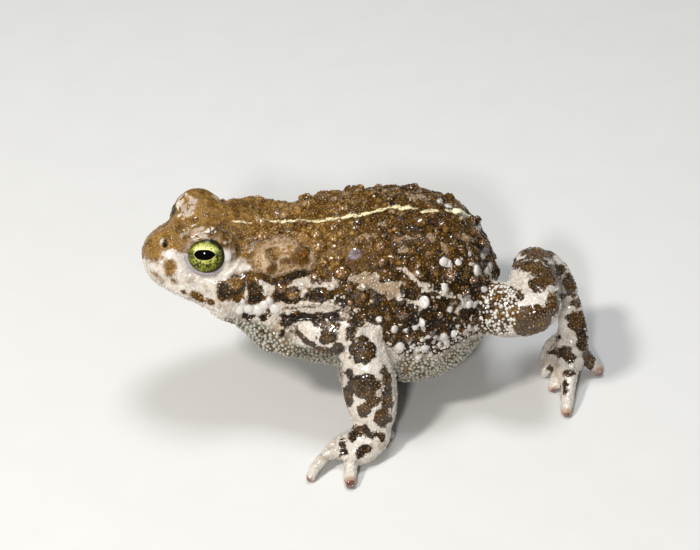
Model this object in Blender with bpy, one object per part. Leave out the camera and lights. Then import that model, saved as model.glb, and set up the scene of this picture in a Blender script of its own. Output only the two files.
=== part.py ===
"""A natterjack toad, life size, in mid walk on four feet with its chest and head held up.

Metres, +Z up. The head points along -X, the toad's left side faces -Y, and the floor is z = 0.
The sizes below are in millimetres and are turned into metres as each piece is made.
The head and the body are one loft that is parted at the neck. Each leg is a chain of lofted
lengths that are cut clear of what they grow from.
"""

import math
import random

import bmesh
import bpy
from mathutils import Matrix, Vector

MM = 0.001
GAP = 0.3
SNOUT_X = -33.4
VENT_X = 36.9

# Head and body, from the snout to the vent. Each station holds its x, its half width, the height
# of its widest level, of its top and of its underside, and the squareness above and below.
STATIONS = (
    (SNOUT_X, 0.25, 31.2, 31.5, 30.9, 2.0, 2.0),
    (-33.0, 3.0, 30.8, 33.6, 28.6, 2.1, 2.1),
    (-31.6, 5.8, 30.2, 35.4, 27.0, 2.2, 2.2),
    (-28.6, 8.6, 29.2, 36.8, 25.4, 2.3, 2.3),
    (-24.5, 10.6, 28.2, 37.6, 24.0, 2.3, 2.4),
    (-19.5, 12.0, 27.2, 37.8, 21.6, 2.3, 2.4),
    (-14.5, 12.9, 25.6, 37.4, 18.2, 2.3, 2.3),
    (-9.5, 14.2, 23.8, 36.9, 14.2, 2.4, 2.2),
    (-3.5, 16.8, 21.4, 36.4, 10.0, 2.5, 2.2),
    (3.5, 19.4, 19.4, 36.2, 6.6, 2.5, 2.2),
    (11.0, 21.2, 17.8, 36.2, 4.2, 2.5, 2.3),
    (18.0, 21.6, 17.2, 36.6, 2.8, 2.5, 2.3),
    (24.5, 19.8, 17.6, 35.8, 3.8, 2.4, 2.3),
    (30.0, 16.2, 18.8, 33.4, 6.8, 2.3, 2.2),
    (34.0, 11.2, 20.0, 29.6, 11.2, 2.1, 2.1),
    (36.2, 5.8, 20.6, 25.6, 15.8, 2.0, 2.0),
    (VENT_X, 0.25, 20.8, 21.1, 20.5, 2.0, 2.0),
)
NECK = 6.3
BODY_SIDES = 34
HEAD_RINGS = 19
TORSO_RINGS = 23

# Eyes: a ball in a socket, under a mound that the lids close round.
EYE_AT = (-21.6, 7.3, 35.4)
EYE_LOOKS = (-0.24, 1.0, 0.26)
EYE_RADIUS = 4.1
EYE_OPENING = 3.65
MOUND_HALF = (5.9, 4.9, 5.1)
MOUND_SET_BACK = 0.6
BROW_AT = (-20.6, 4.6, 35.2)
BROW_HALF = (6.7, 4.6, 4.0)
LID_RING = 4.1
LID_FORWARD = 1.45
LID_THICK = 0.62

# Parotoid glands, the long raised gland behind each eye.
GLANDS = {-1: (-7.0, -10.2, 34.0), 1: (-7.6, 10.2, 33.4)}
GLAND_HALF = (6.6, 3.6, 2.6)

# Ear drum, a faint low disc behind and below the eye.
DRUM_AT = (5.43, 75.0)
DRUM_RADIUS = 1.7

# Mouth line and nostrils, as a station and an angle from the crown of the head.
LIP_ANGLE = 101.0
LIP_END = 5.4
LIP_GROOVE = 0.36
LIP_RIDGE = 0.75
LIP_RIDGE_ABOVE = 6.5
NOSTRIL_AT = (2.8, 27.0)
NOSTRIL_RADIUS = 0.5

# Warts: station, angle from the spine and radius. Both sides get these, the right side
# with each moved a little.
BACK_WARTS = (
    (6.75, 1.0, 0.9), (6.8, 18.0, 1.3), (7.7, 4.0, 0.9), (8.4, 7.0, 0.8), (8.4, 24.0, 1.3),
    (8.5, 37.0, 0.9), (8.45, 14.0, 0.9), (8.95, 16.0, 1.0), (9.2, 5.0, 1.0), (9.75, 14.0, 0.9),
    (10.1, 23.0, 1.3), (10.0, 35.0, 1.2), (10.3, 13.0, 1.2), (10.6, 3.0, 1.0), (10.6, 14.5, 0.9),
    (10.65, 34.0, 0.9), (11.05, 41.0, 0.9), (11.43, 9.0, 1.4), (12.0, 4.0, 0.9), (12.1, 17.0, 1.0),
    (12.76, 4.0, 1.1), (12.75, 23.0, 1.2), (11.75, 36.0, 1.1), (11.85, 49.0, 1.3), (13.4, 12.0, 1.0),
)
FLANK_WARTS = (
    (6.8, 91.0, 1.0), (7.3, 88.0, 0.9), (8.69, 53.8, 1.3), (9.45, 52.0, 1.0), (10.9, 54.0, 0.9),
    (11.03, 63.0, 1.3), (10.92, 75.0, 1.1), (10.15, 78.0, 0.9), (10.3, 90.0, 1.2), (11.0, 89.0, 0.9),
    (11.35, 97.0, 0.9), (11.6, 84.0, 0.8), (12.0, 85.0, 0.8), (11.46, 72.0, 1.0), (12.14, 71.0, 0.8),
    (12.55, 72.0, 0.9), (12.73, 59.0, 1.1), (13.0, 47.0, 1.0), (13.43, 36.0, 0.9), (13.85, 48.0, 0.8),
    (12.5, 84.0, 0.8), (13.9, 20.0, 0.9), (14.3, 34.0, 0.8), (13.6, 62.0, 0.9), (14.2, 75.0, 0.8),
)
WART_SEED = 7
WART_DRIFT = (0.12, 2.5)
WART_RISE = 0.62
WART_SUNK = 0.3
WART_CLEAR = 1.2

# Swellings of the trunk over the shoulders and the hips: centre and half sizes.
SHOULDER = ((-4.0, 12.6, 22.0), (6.5, 4.4, 5.6))
HIP = ((28.0, 9.6, 19.4), (6.4, 5.6, 7.4))

SKIN_BROWN = (0.13, 0.09, 0.045, 1.0)
SKIN_PALE = (0.62, 0.55, 0.47, 1.0)
EYE_GOLD = (0.42, 0.42, 0.08, 1.0)


def make_material(name, colour, roughness):
    material = bpy.data.materials.new(name)
    material.use_nodes = True
    shader = material.node_tree.nodes["Principled BSDF"]
    shader.inputs["Base Color"].default_value = colour
    shader.inputs["Roughness"].default_value = roughness
    shader.inputs["Metallic"].default_value = 0.0
    return material


def curve_through(values, t):
    """The point at t on a smooth curve through rows of numbers, with row i at t = i."""
    last = len(values) - 1
    i = min(max(int(math.floor(t)), 0), last - 1)
    f = t - i
    before = values[max(i - 1, 0)]
    start = values[i]
    end = values[i + 1]
    after = values[min(i + 2, last)]
    found = []
    for p0, p1, p2, p3 in zip(before, start, end, after):
        bend = 2 * p0 - 5 * p1 + 4 * p2 - p3
        twist = 3 * (p1 - p2) + p3 - p0
        found.append(0.5 * (2 * p1 + (p2 - p0) * f + bend * f * f + twist * f ** 3))
    return found


def skin_point(station, angle):
    """A point of the head and body surface. The angle is in degrees from the crown, and
    positive angles are on the toad's left, which is -Y."""
    x, half, middle, top, under, above, below = curve_through(STATIONS, station)
    side = math.sin(math.radians(angle))
    rise = math.cos(math.radians(angle))
    power = above if rise > 0 else below
    across = math.copysign(abs(side) ** (2 / power), side) * max(half, 0.05)
    height = top - middle if rise > 0 else middle - under
    up = math.copysign(abs(rise) ** (2 / power), rise) * height
    return Vector((x, -across, middle + up)) * MM


def skin_normal(station, angle):
    along = skin_point(station + 0.05, angle) - skin_point(station - 0.05, angle)
    round_it = skin_point(station, angle + 1) - skin_point(station, angle - 1)
    return round_it.cross(along).normalized()


def new_object(name, mesh, material):
    thing = bpy.data.objects.new(name, mesh)
    bpy.context.scene.collection.objects.link(thing)
    mesh.materials.append(material)
    return thing


def loft(name, rings, material):
    """A closed body through rings of equal count, with a fan over each end."""
    shape = bmesh.new()
    made = [[shape.verts.new(p) for p in ring] for ring in rings]
    count = len(made[0])
    for one, two in zip(made, made[1:]):
        for i in range(count):
            j = (i + 1) % count
            shape.faces.new((one[i], one[j], two[j]))
            shape.faces.new((one[i], two[j], two[i]))
    for ring in (made[0], made[-1]):
        middle = sum((v.co for v in ring), Vector()) / count
        tip = shape.verts.new(middle)
        for i in range(count):
            shape.faces.new((ring[i], ring[(i + 1) % count], tip))
    bmesh.ops.recalc_face_normals(shape, faces=shape.faces)
    mesh = bpy.data.meshes.new(name)
    shape.to_mesh(mesh)
    shape.free()
    return new_object(name, mesh, material)


def body_loft(name, first, last, rings, material):
    """The stretch of the head and body between two stations."""
    steps = [first + (last - first) * i / (rings - 1) for i in range(rings)]
    turns = [360.0 * i / BODY_SIDES for i in range(BODY_SIDES)]
    return loft(name, [[skin_point(s, a) for a in turns] for s in steps], material)


def tube(name, controls, material, sides=12, step=2.6, flat=1.0):
    """A rounded length of limb. Each control is x, y, z and radius in millimetres, and
    flat is its height as a share of its width."""
    spans = len(controls) - 1
    length = sum((Vector(a[:3]) - Vector(b[:3])).length for a, b in zip(controls, controls[1:]))
    count = max(spans + 2, int(length / step)) + 1
    line = [curve_through(controls, spans * i / (count - 1)) for i in range(count)]
    centres = [Vector(p[:3]) for p in line]
    rings = []
    side = None
    for i, centre in enumerate(centres):
        tangent = (centres[min(i + 1, count - 1)] - centres[max(i - 1, 0)]).normalized()
        if side is None:
            side = tangent.cross(Vector((0, 0, 1)))
        side = (side - tangent * side.dot(tangent)).normalized()
        up = side.cross(tangent)
        radius = line[i][3]
        ring = []
        for k in range(sides):
            turn = 2 * math.pi * k / sides
            offset = side * (radius * math.cos(turn)) + up * (radius * flat * math.sin(turn))
            ring.append((centre + offset) * MM)
        rings.append(ring)
    rounded = []
    for end, inward in ((0, 1), (-1, -1)):
        radius = line[end][3]
        centre = centres[end]
        away = (centre - centres[end + inward]).normalized()
        caps = []
        for lift, share in ((0.5, 0.86), (0.88, 0.48)):
            shift = away * radius * lift * 0.9
            caps.append([(p - centre * MM) * share + (centre + shift) * MM for p in rings[end]])
        rounded.append(caps)
    return loft(name, rounded[0][::-1] + rings + rounded[1], material)


def ball(name, centre, half, material, along=(0, 0, 1), segments=20, rings=12):
    """An ellipsoid in millimetres, its third half size lying along a direction."""
    shape = bmesh.new()
    bmesh.ops.create_uvsphere(shape, u_segments=segments, v_segments=rings, radius=1.0)
    bmesh.ops.triangulate(shape, faces=shape.faces)
    turn = Vector(along).to_track_quat("Z", "Y").to_matrix().to_4x4()
    size = Matrix.Diagonal((half[0] * MM, half[1] * MM, half[2] * MM, 1.0))
    shape.transform(Matrix.Translation(Vector(centre) * MM) @ turn @ size)
    mesh = bpy.data.meshes.new(name)
    shape.to_mesh(mesh)
    shape.free()
    return new_object(name, mesh, material)


def apply_boolean(target, tools, operation):
    """Joins or cuts target with a collection of tools, then removes the tools."""
    group = bpy.data.collections.new("tools")
    bpy.context.scene.collection.children.link(group)
    for tool in tools:
        bpy.context.scene.collection.objects.unlink(tool)
        group.objects.link(tool)
    modifier = target.modifiers.new("join", "BOOLEAN")
    modifier.operation = operation
    modifier.solver = "EXACT"
    modifier.operand_type = "COLLECTION"
    modifier.collection = group
    graph = bpy.context.evaluated_depsgraph_get()
    mesh = bpy.data.meshes.new_from_object(target.evaluated_get(graph))
    target.modifiers.clear()
    target.data = mesh
    for tool in tools:
        bpy.data.objects.remove(tool)
    bpy.data.collections.remove(group)
    keep_largest(target)


def keep_largest(thing):
    """Leaves only the closed surface with the most faces, and triangulates it."""
    shape = bmesh.new()
    shape.from_mesh(thing.data)
    bmesh.ops.triangulate(shape, faces=shape.faces)
    waiting = set(shape.faces)
    surfaces = []
    while waiting:
        found = set()
        edge = [waiting.pop()]
        while edge:
            face = edge.pop()
            found.add(face)
            near = {f for e in face.edges for f in e.link_faces} & waiting
            waiting -= near
            edge.extend(near)
        surfaces.append(found)
    largest = max(surfaces, key=len)
    rest = [f for f in shape.faces if f not in largest]
    bmesh.ops.delete(shape, geom=rest, context="FACES")
    shape.to_mesh(thing.data)
    shape.free()


def swollen(thing, by):
    """A copy of a piece with its surface moved out along its normals."""
    shape = bmesh.new()
    shape.from_mesh(thing.data)
    shape.normal_update()
    moves = [v.normal * by * MM for v in shape.verts]
    for vertex, move in zip(shape.verts, moves):
        vertex.co += move
    mesh = bpy.data.meshes.new("swollen")
    shape.to_mesh(mesh)
    shape.free()
    copy = bpy.data.objects.new("swollen", mesh)
    bpy.context.scene.collection.objects.link(copy)
    return copy


def carve(thing, rooms):
    """Cuts a piece clear of its neighbours, each given as its plain shape grown by the gap."""
    for room in rooms:
        tool = bpy.data.objects.new("room", room.data.copy())
        bpy.context.scene.collection.objects.link(tool)
        apply_boolean(thing, [tool], "DIFFERENCE")


def floor_cut(thing):
    """Gives a foot its small flats on the floor."""
    shape = bmesh.new()
    bmesh.ops.create_cube(shape, size=1.0)
    shape.transform(Matrix.Translation((0, 0, -0.05)) @ Matrix.Diagonal((0.3, 0.3, 0.1, 1)))
    mesh = bpy.data.meshes.new("floor")
    shape.to_mesh(mesh)
    shape.free()
    block = bpy.data.objects.new("floor", mesh)
    bpy.context.scene.collection.objects.link(block)
    apply_boolean(thing, [block], "DIFFERENCE")


def mirrored(point, side):
    """A place given for the right side, moved to the side asked for: 1 right, -1 left."""
    return (point[0], point[1] * side, *point[2:])


def wart(place, normal, radius, material):
    """One low dome, its root sunk in the skin."""
    centre = place / MM - normal * radius * WART_RISE * WART_SUNK
    half = (radius, radius, radius * WART_RISE * (1 + WART_SUNK))
    return ball("wart", centre, half, material, along=normal, segments=6, rings=5)


def torso_warts(material):
    """The warts of the back and flanks, kept clear of the limbs, the glands and each other."""
    draw = random.Random(WART_SEED)
    warts = []
    placed = []
    for side in (-1, 1):
        for station, angle, radius in (*FLANK_WARTS, *BACK_WARTS):
            if side > 0:
                station += draw.uniform(-WART_DRIFT[0], WART_DRIFT[0])
                angle += draw.uniform(-WART_DRIFT[1], WART_DRIFT[1])
            place = skin_point(station, -side * angle)
            if free_for_wart(place / MM, radius, placed):
                placed.append((place / MM, radius))
                warts.append(wart(place, skin_normal(station, -side * angle), radius, material))
    return warts


def free_for_wart(place, radius, placed):
    """True where a wart would touch no limb, no gland and no other wart."""
    if near_limb(place, radius):
        return False
    if any((Vector(centre) - place).length < GLAND_HALF[0] + 0.2 for centre in GLANDS.values()):
        return False
    return all((other - place).length > radius + size + 0.3 for other, size in placed)


def part_at_neck(thing, side):
    """Moves the end ring at the neck back by half the parting gap."""
    neck_x = curve_through(STATIONS, NECK)[0] * MM
    for vertex in thing.data.vertices:
        if abs(vertex.co.x - neck_x) < 1e-6:
            vertex.co.x += side * 0.5 * GAP * MM


def gland_lobe(side, material):
    """A parotoid gland: a long low swelling that leans with the side of the neck."""
    lobe = ball("gland", (0, 0, 0), GLAND_HALF, material, segments=14, rings=8)
    lean = Matrix.Rotation(math.radians(-38.0 * side), 4, "X")
    splay = Matrix.Rotation(math.radians(9.0 * side), 4, "Z")
    lobe.data.transform(Matrix.Translation(Vector(GLANDS[side]) * MM) @ splay @ lean)
    return lobe


def make_torso(material):
    """Neck and trunk with the parotoid glands and the larger warts. The second thing given
    back is its plain shapes grown by the gap, for cutting the limbs clear of it."""
    torso = body_loft("torso", NECK, len(STATIONS) - 1, TORSO_RINGS, material)
    part_at_neck(torso, 1)
    rooms = [swollen(torso, GAP)]
    swells = []
    for side in (1, -1):
        for centre, half in (SHOULDER, HIP):
            swells.append(ball("swell", mirrored(centre, side), half, material, segments=16, rings=10))
            rooms.append(swollen(swells[-1], GAP))
    apply_boolean(torso, swells, "UNION")
    added = torso_warts(material) + [gland_lobe(1, material), gland_lobe(-1, material)]
    apply_boolean(torso, added, "UNION")
    return torso, rooms


def make_head(material):
    """Head and neck, with the lids, mouth line, nostrils, ear drums and parotoid glands."""
    head = body_loft("head", 0, NECK, HEAD_RINGS, material)
    part_at_neck(head, -1)
    added = []
    for side in (1, -1):
        looks = Vector(mirrored(EYE_LOOKS, side)).normalized()
        mound = Vector(mirrored(EYE_AT, side)) - looks * MOUND_SET_BACK
        added.append(ball("mound", mound, MOUND_HALF, material, segments=18, rings=12))
        brow = mirrored(BROW_AT, side)
        added.append(ball("brow", brow, BROW_HALF, material, segments=16, rings=10))
        added.append(lid_ring(side, material))
        drum_at = skin_point(DRUM_AT[0], -side * DRUM_AT[1])
        drum_up = skin_normal(DRUM_AT[0], -side * DRUM_AT[1])
        half = (DRUM_RADIUS, DRUM_RADIUS, 0.5)
        added.append(ball("drum", drum_at / MM, half, material, along=drum_up, segments=12, rings=6))
        rim = skin_point(NOSTRIL_AT[0], -side * NOSTRIL_AT[1])
        rim_half = (NOSTRIL_RADIUS * 2.0, NOSTRIL_RADIUS * 2.0, 0.6)
        rim_up = skin_normal(NOSTRIL_AT[0], -side * NOSTRIL_AT[1])
        added.append(ball("rim", rim / MM, rim_half, material, along=rim_up, segments=10, rings=6))
    added.append(lip_line("lip", LIP_ANGLE - LIP_RIDGE_ABOVE, LIP_RIDGE, 0.5, material))
    apply_boolean(head, added, "UNION")
    cuts = []
    for side in (1, -1):
        looks = Vector(mirrored(EYE_LOOKS, side)).normalized()
        eye = Vector(mirrored(EYE_AT, side))
        socket = (EYE_RADIUS + GAP,) * 3
        cuts.append(ball("socket", eye, socket, material, along=looks, segments=18, rings=10))
        cuts.append(rod("opening", eye, looks, EYE_OPENING, 8.0, material))
        nostril = skin_point(NOSTRIL_AT[0], -side * NOSTRIL_AT[1]) / MM
        up = skin_normal(NOSTRIL_AT[0], -side * NOSTRIL_AT[1])
        cuts.append(rod("nostril", nostril - up * 0.9, up, NOSTRIL_RADIUS, 2.4, material, 8))
    apply_boolean(head, cuts, "DIFFERENCE")
    groove = lip_line("groove", LIP_ANGLE, LIP_GROOVE, 0.0, material)
    apply_boolean(head, [groove], "DIFFERENCE")
    for side in (1, -1):
        lobe = gland_lobe(side, material)
        apply_boolean(head, [swollen(lobe, GAP)], "DIFFERENCE")
        bpy.data.objects.remove(lobe)
    return head


def rod(name, start, along, radius, length, material, segments=18):
    """A plain cylinder cutter from a start point."""
    shape = bmesh.new()
    bmesh.ops.create_cone(
        shape, cap_ends=True, segments=segments,
        radius1=radius * MM, radius2=radius * MM, depth=length * MM,
    )
    turn = Vector(along).to_track_quat("Z", "Y").to_matrix().to_4x4()
    middle = (Vector(start) + Vector(along).normalized() * length / 2) * MM
    shape.transform(Matrix.Translation(middle) @ turn)
    bmesh.ops.triangulate(shape, faces=shape.faces)
    mesh = bpy.data.meshes.new(name)
    shape.to_mesh(mesh)
    shape.free()
    return new_object(name, mesh, material)


def lip_line(name, angle, radius, sunk, material):
    """A thin tube along the lips, from one corner of the mouth round the snout to the other."""
    steps = [LIP_END - (LIP_END - 0.7) * i / 9 for i in range(10)]
    left = [lip_point(s, angle, radius * sunk) for s in steps]
    right = [lip_point(s, -angle, radius * sunk) for s in reversed(steps)]
    lift = 0.2 if sunk == 0 else 0.7
    front = Vector((SNOUT_X + 0.1 + radius * sunk, 0, (left[-1].z + right[0].z) / 2 + lift))
    controls = [(*p, radius) for p in [*left, front, *right]]
    return tube(name, controls, material, sides=5, step=1.9)


def lip_point(station, angle, sunk):
    return skin_point(station, angle) / MM - skin_normal(station, angle) * sunk


def lid_ring(side, material):
    """The rolled edge of the eyelids, a ring round the opening."""
    looks = Vector(mirrored(EYE_LOOKS, side)).normalized()
    centre = Vector(mirrored(EYE_AT, side)) + looks * LID_FORWARD
    turn = looks.to_track_quat("Z", "Y").to_matrix()
    around = 18
    section = 6
    shape = bmesh.new()
    rings = []
    for i in range(around):
        out = Vector((math.cos(2 * math.pi * i / around), math.sin(2 * math.pi * i / around), 0))
        ring = []
        for k in range(section):
            tilt = 2 * math.pi * k / section
            reach = LID_RING + LID_THICK * math.cos(tilt)
            point = turn @ (out * reach + Vector((0, 0, LID_THICK * math.sin(tilt))))
            ring.append(shape.verts.new((centre + point) * MM))
        rings.append(ring)
    for i in range(around):
        one = rings[i]
        two = rings[(i + 1) % around]
        for k in range(section):
            j = (k + 1) % section
            shape.faces.new((one[k], one[j], two[j]))
            shape.faces.new((one[k], two[j], two[k]))
    bmesh.ops.recalc_face_normals(shape, faces=shape.faces)
    mesh = bpy.data.meshes.new("lids")
    shape.to_mesh(mesh)
    shape.free()
    return new_object("lids", mesh, material)


def make_eye(side, material):
    name = "eye_right" if side > 0 else "eye_left"
    looks = Vector(mirrored(EYE_LOOKS, side)).normalized()
    eye = Vector(mirrored(EYE_AT, side))
    return ball(name, eye, (EYE_RADIUS,) * 3, material, along=looks, segments=18, rings=10)


# Fore limbs, as x, y, z and radius at each control. Left is -Y.
ARMS = {
    "left": {
        "upper": ((-5.6, -11.6, 20.4, 4.2), (-3.0, -14.2, 20.8, 4.5), (0.6, -17.0, 21.0, 4.5), (4.4, -18.8, 20.6, 4.4)),
        "fore": ((6.0, -18.9, 19.6, 4.5), (6.5, -21.0, 15.9, 5.2), (7.1, -23.2, 10.6, 5.3), (7.4, -25.3, 6.8, 4.6)),
        "palm": ((6.9, -26.6, 5.0, 3.9), (5.9, -28.6, 3.4, 4.1), (3.6, -30.6, 2.3, 3.4), (2.2, -31.8, 2.0, 2.5)),
        "digits": (
            ((4.4, -27.6, 2.6, 1.7), (0.6, -27.6, 2.5, 1.5), (-2.2, -28.4, 0.8, 1.35)),
            ((2.8, -30.0, 2.4, 1.7), (-1.4, -30.6, 2.6, 1.4), (-4.6, -32.6, 2.0, 1.3), (-6.4, -35.0, 0.8, 1.15)),
            ((2.4, -31.6, 2.3, 1.7), (1.2, -34.8, 2.2, 1.5), (0.7, -38.2, 0.8, 1.2)),
            ((6.4, -27.6, 2.8, 1.5), (9.0, -26.2, 1.9, 1.35), (10.8, -25.0, 0.8, 1.15)),
        ),
    },
    "right": {
        "upper": ((-5.6, 11.6, 20.4, 4.3), (-3.6, 14.8, 20.4, 4.6), (-1.2, 18.4, 19.6, 4.5), (0.2, 21.2, 18.4, 4.3)),
        "fore": ((0.2, 22.2, 16.8, 4.4), (-1.2, 23.8, 13.0, 5.0), (-3.2, 25.2, 9.0, 4.7), (-4.6, 26.0, 6.6, 4.2)),
        "palm": ((-5.2, 26.2, 5.0, 3.6), (-6.8, 26.8, 3.4, 3.7), (-9.0, 27.4, 2.3, 3.3), (-10.4, 27.8, 2.0, 2.5)),
        "digits": (
            ((-7.6, 25.2, 2.4, 1.6), (-9.2, 22.8, 2.1, 1.45), (-10.4, 20.8, 0.8, 1.25)),
            ((-9.4, 26.2, 2.4, 1.6), (-12.0, 25.2, 2.3, 1.4), (-14.6, 24.8, 0.8, 1.2)),
            ((-10.0, 28.0, 2.3, 1.6), (-12.6, 29.4, 2.2, 1.4), (-15.4, 30.4, 0.8, 1.2)),
            ((-8.4, 29.2, 2.2, 1.5), (-9.2, 32.0, 1.9, 1.4), (-10.0, 34.6, 0.8, 1.15)),
        ),
    },
}

# Hind limbs: the left one trails with its heel up, the right one is folded at the flank.
LEGS = {
    "left": {
        "thigh": ((27.0, -7.4, 17.8, 5.6), (31.6, -11.6, 19.6, 5.6), (36.6, -16.2, 21.0, 5.3), (39.8, -18.8, 22.4, 4.6)),
        "shank": ((40.8, -18.0, 22.6, 4.7), (41.8, -13.0, 22.8, 5.0), (42.7, -8.0, 22.4, 4.8), (44.0, -2.8, 21.8, 4.1)),
        "tarsus": ((46.6, -1.2, 20.8, 3.2), (48.9, -1.6, 19.2, 2.8), (50.4, -2.6, 16.8, 2.5), (51.2, -3.9, 14.4, 2.5)),
        "sole": ((51.5, -4.6, 13.0, 2.5), (51.6, -6.8, 10.3, 2.9), (51.3, -9.4, 7.4, 3.3), (50.6, -11.8, 4.9, 3.1), (50.1, -13.2, 3.9, 2.4)),
        "digits": (
            ((50.0, -8.0, 7.6, 1.6), (47.4, -6.4, 4.4, 1.3), (46.2, -6.6, 0.8, 1.15)),
            ((49.8, -9.6, 6.4, 1.6), (47.2, -9.4, 3.6, 1.35), (45.4, -11.0, 0.8, 1.15)),
            ((49.6, -12.0, 4.8, 1.8), (47.6, -13.4, 2.8, 1.55), (45.8, -16.0, 0.8, 1.25)),
            ((50.0, -13.2, 4.0, 2.0), (48.6, -17.2, 3.0, 1.7), (47.4, -20.8, 2.2, 1.5), (46.4, -24.2, 0.8, 1.25)),
            ((51.4, -10.8, 5.8, 1.9), (54.0, -11.2, 3.6, 1.6), (56.4, -12.2, 0.8, 1.25)),
        ),
    },
    "right": {
        "thigh": ((26.0, 6.0, 16.0, 5.8), (25.0, 13.0, 16.4, 6.2), (20.8, 19.4, 16.6, 5.8), (16.4, 23.4, 16.2, 4.7)),
        "shank": ((16.6, 25.4, 15.2, 4.6), (21.0, 26.4, 13.2, 5.0), (27.4, 24.4, 9.8, 4.6), (32.4, 21.8, 7.2, 3.7)),
        "tarsus": ((32.8, 23.4, 5.0, 3.2), (30.6, 26.4, 3.8, 2.8), (27.4, 29.4, 3.1, 2.7), (25.0, 31.4, 2.8, 2.8)),
        "sole": ((24.2, 31.8, 2.7, 2.8), (21.8, 33.4, 2.6, 3.1), (19.6, 34.6, 2.4, 2.9), (18.0, 35.4, 2.2, 2.3)),
        "digits": (
            ((22.0, 31.6, 2.3, 1.5), (19.6, 30.2, 1.8, 1.3), (17.6, 29.6, 0.8, 1.1)),
            ((20.6, 32.8, 2.3, 1.6), (17.2, 31.8, 1.9, 1.35), (14.2, 31.6, 0.8, 1.15)),
            ((19.0, 34.2, 2.3, 1.7), (15.0, 34.2, 2.0, 1.45), (11.2, 34.8, 0.8, 1.2)),
            ((18.4, 35.6, 2.3, 1.8), (14.4, 37.2, 2.1, 1.55), (10.6, 38.8, 1.7, 1.35), (7.4, 40.4, 0.8, 1.2)),
            ((20.4, 36.0, 2.2, 1.7), (18.4, 39.2, 1.9, 1.45), (16.2, 42.2, 0.8, 1.2)),
        ),
    },
}


def limb_lengths():
    """Every control line of the limbs, for keeping the warts clear of them."""
    for limb in (*ARMS.values(), *LEGS.values()):
        for name, line in limb.items():
            if name != "digits":
                yield line


def near_limb(place, radius):
    """True where a wart on the torso would touch a limb."""
    for line in limb_lengths():
        for i in range(8 * (len(line) - 1) + 1):
            x, y, z, thick = curve_through(line, i / 8)
            if (Vector((x, y, z)) - place).length < thick + radius + WART_CLEAR:
                return True
    return False


def make_arm(side, torso_rooms, material):
    sizes = ARMS[side]
    upper = tube(f"upper_arm_{side}", sizes["upper"], material, sides=12)
    upper_room = swollen(upper, GAP)
    carve(upper, torso_rooms)
    fore = tube(f"forearm_{side}", sizes["fore"], material, sides=14)
    fore_room = swollen(fore, GAP)
    carve(fore, [upper_room, *torso_rooms])
    hand = tube(f"hand_{side}", sizes["palm"], material, sides=10, flat=0.72)
    finish_foot(hand, sizes["digits"], [fore_room], material)
    bpy.data.objects.remove(upper_room)
    bpy.data.objects.remove(fore_room)
    return [upper, fore, hand]


def finish_foot(foot, digits, rooms, material):
    """Adds the digits, cuts the foot clear of the limb above and gives it its floor flats."""
    tubes = [tube("digit", line, material, sides=6, step=2.6) for line in digits]
    apply_boolean(foot, tubes, "UNION")
    carve(foot, rooms)
    floor_cut(foot)


def make_leg(side, torso_rooms, material):
    sizes = LEGS[side]
    thigh = tube(f"thigh_{side}", sizes["thigh"], material, sides=14)
    thigh_room = swollen(thigh, GAP)
    carve(thigh, torso_rooms)
    shank = tube(f"shank_{side}", sizes["shank"], material, sides=14)
    shank_room = swollen(shank, GAP)
    carve(shank, [thigh_room, *torso_rooms])
    tarsus = tube(f"tarsus_{side}", sizes["tarsus"], material, sides=10)
    tarsus_room = swollen(tarsus, GAP)
    carve(tarsus, [shank_room, thigh_room])
    floor_cut(tarsus)
    foot = tube(f"foot_{side}", sizes["sole"], material, sides=10, flat=0.75)
    finish_foot(foot, sizes["digits"], [tarsus_room], material)
    for room in (thigh_room, shank_room, tarsus_room):
        bpy.data.objects.remove(room)
    return [thigh, shank, tarsus, foot]


def centre_on_floor(pieces):
    """Slides everything so that the middle of its footprint is at the origin."""
    corners = [v.co for piece in pieces for v in piece.data.vertices]
    middle_x = (min(c.x for c in corners) + max(c.x for c in corners)) / 2
    middle_y = (min(c.y for c in corners) + max(c.y for c in corners)) / 2
    print("moved by", -middle_x, -middle_y)
    for piece in pieces:
        piece.data.transform(Matrix.Translation((-middle_x, -middle_y, 0)))


def build():
    for thing in list(bpy.data.objects):
        bpy.data.objects.remove(thing)
    brown = make_material("warty_back", SKIN_BROWN, 0.45)
    pale = make_material("banded_limb", SKIN_PALE, 0.45)
    gold = make_material("eye", EYE_GOLD, 0.05)
    torso, torso_rooms = make_torso(brown)
    pieces = [torso, make_head(brown), make_eye(1, gold), make_eye(-1, gold)]
    for side in ("left", "right"):
        pieces += make_arm(side, torso_rooms, pale)
        pieces += make_leg(side, torso_rooms, pale)
    for room in torso_rooms:
        bpy.data.objects.remove(room)
    centre_on_floor(pieces)
    toad = bpy.data.collections.new("natterjack_toad")
    bpy.context.scene.collection.children.link(toad)
    for piece in pieces:
        bpy.context.scene.collection.objects.unlink(piece)
        toad.objects.link(piece)
        piece.data.shade_smooth()


build()
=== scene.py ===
"""A life-size natterjack toad in mid walk: one warty skin over its solids, with lids, eyes and granules."""
import math

import bmesh
import bpy
import numpy as np
from mathutils import Matrix, Vector, noise
from mathutils.bvhtree import BVHTree


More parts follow.
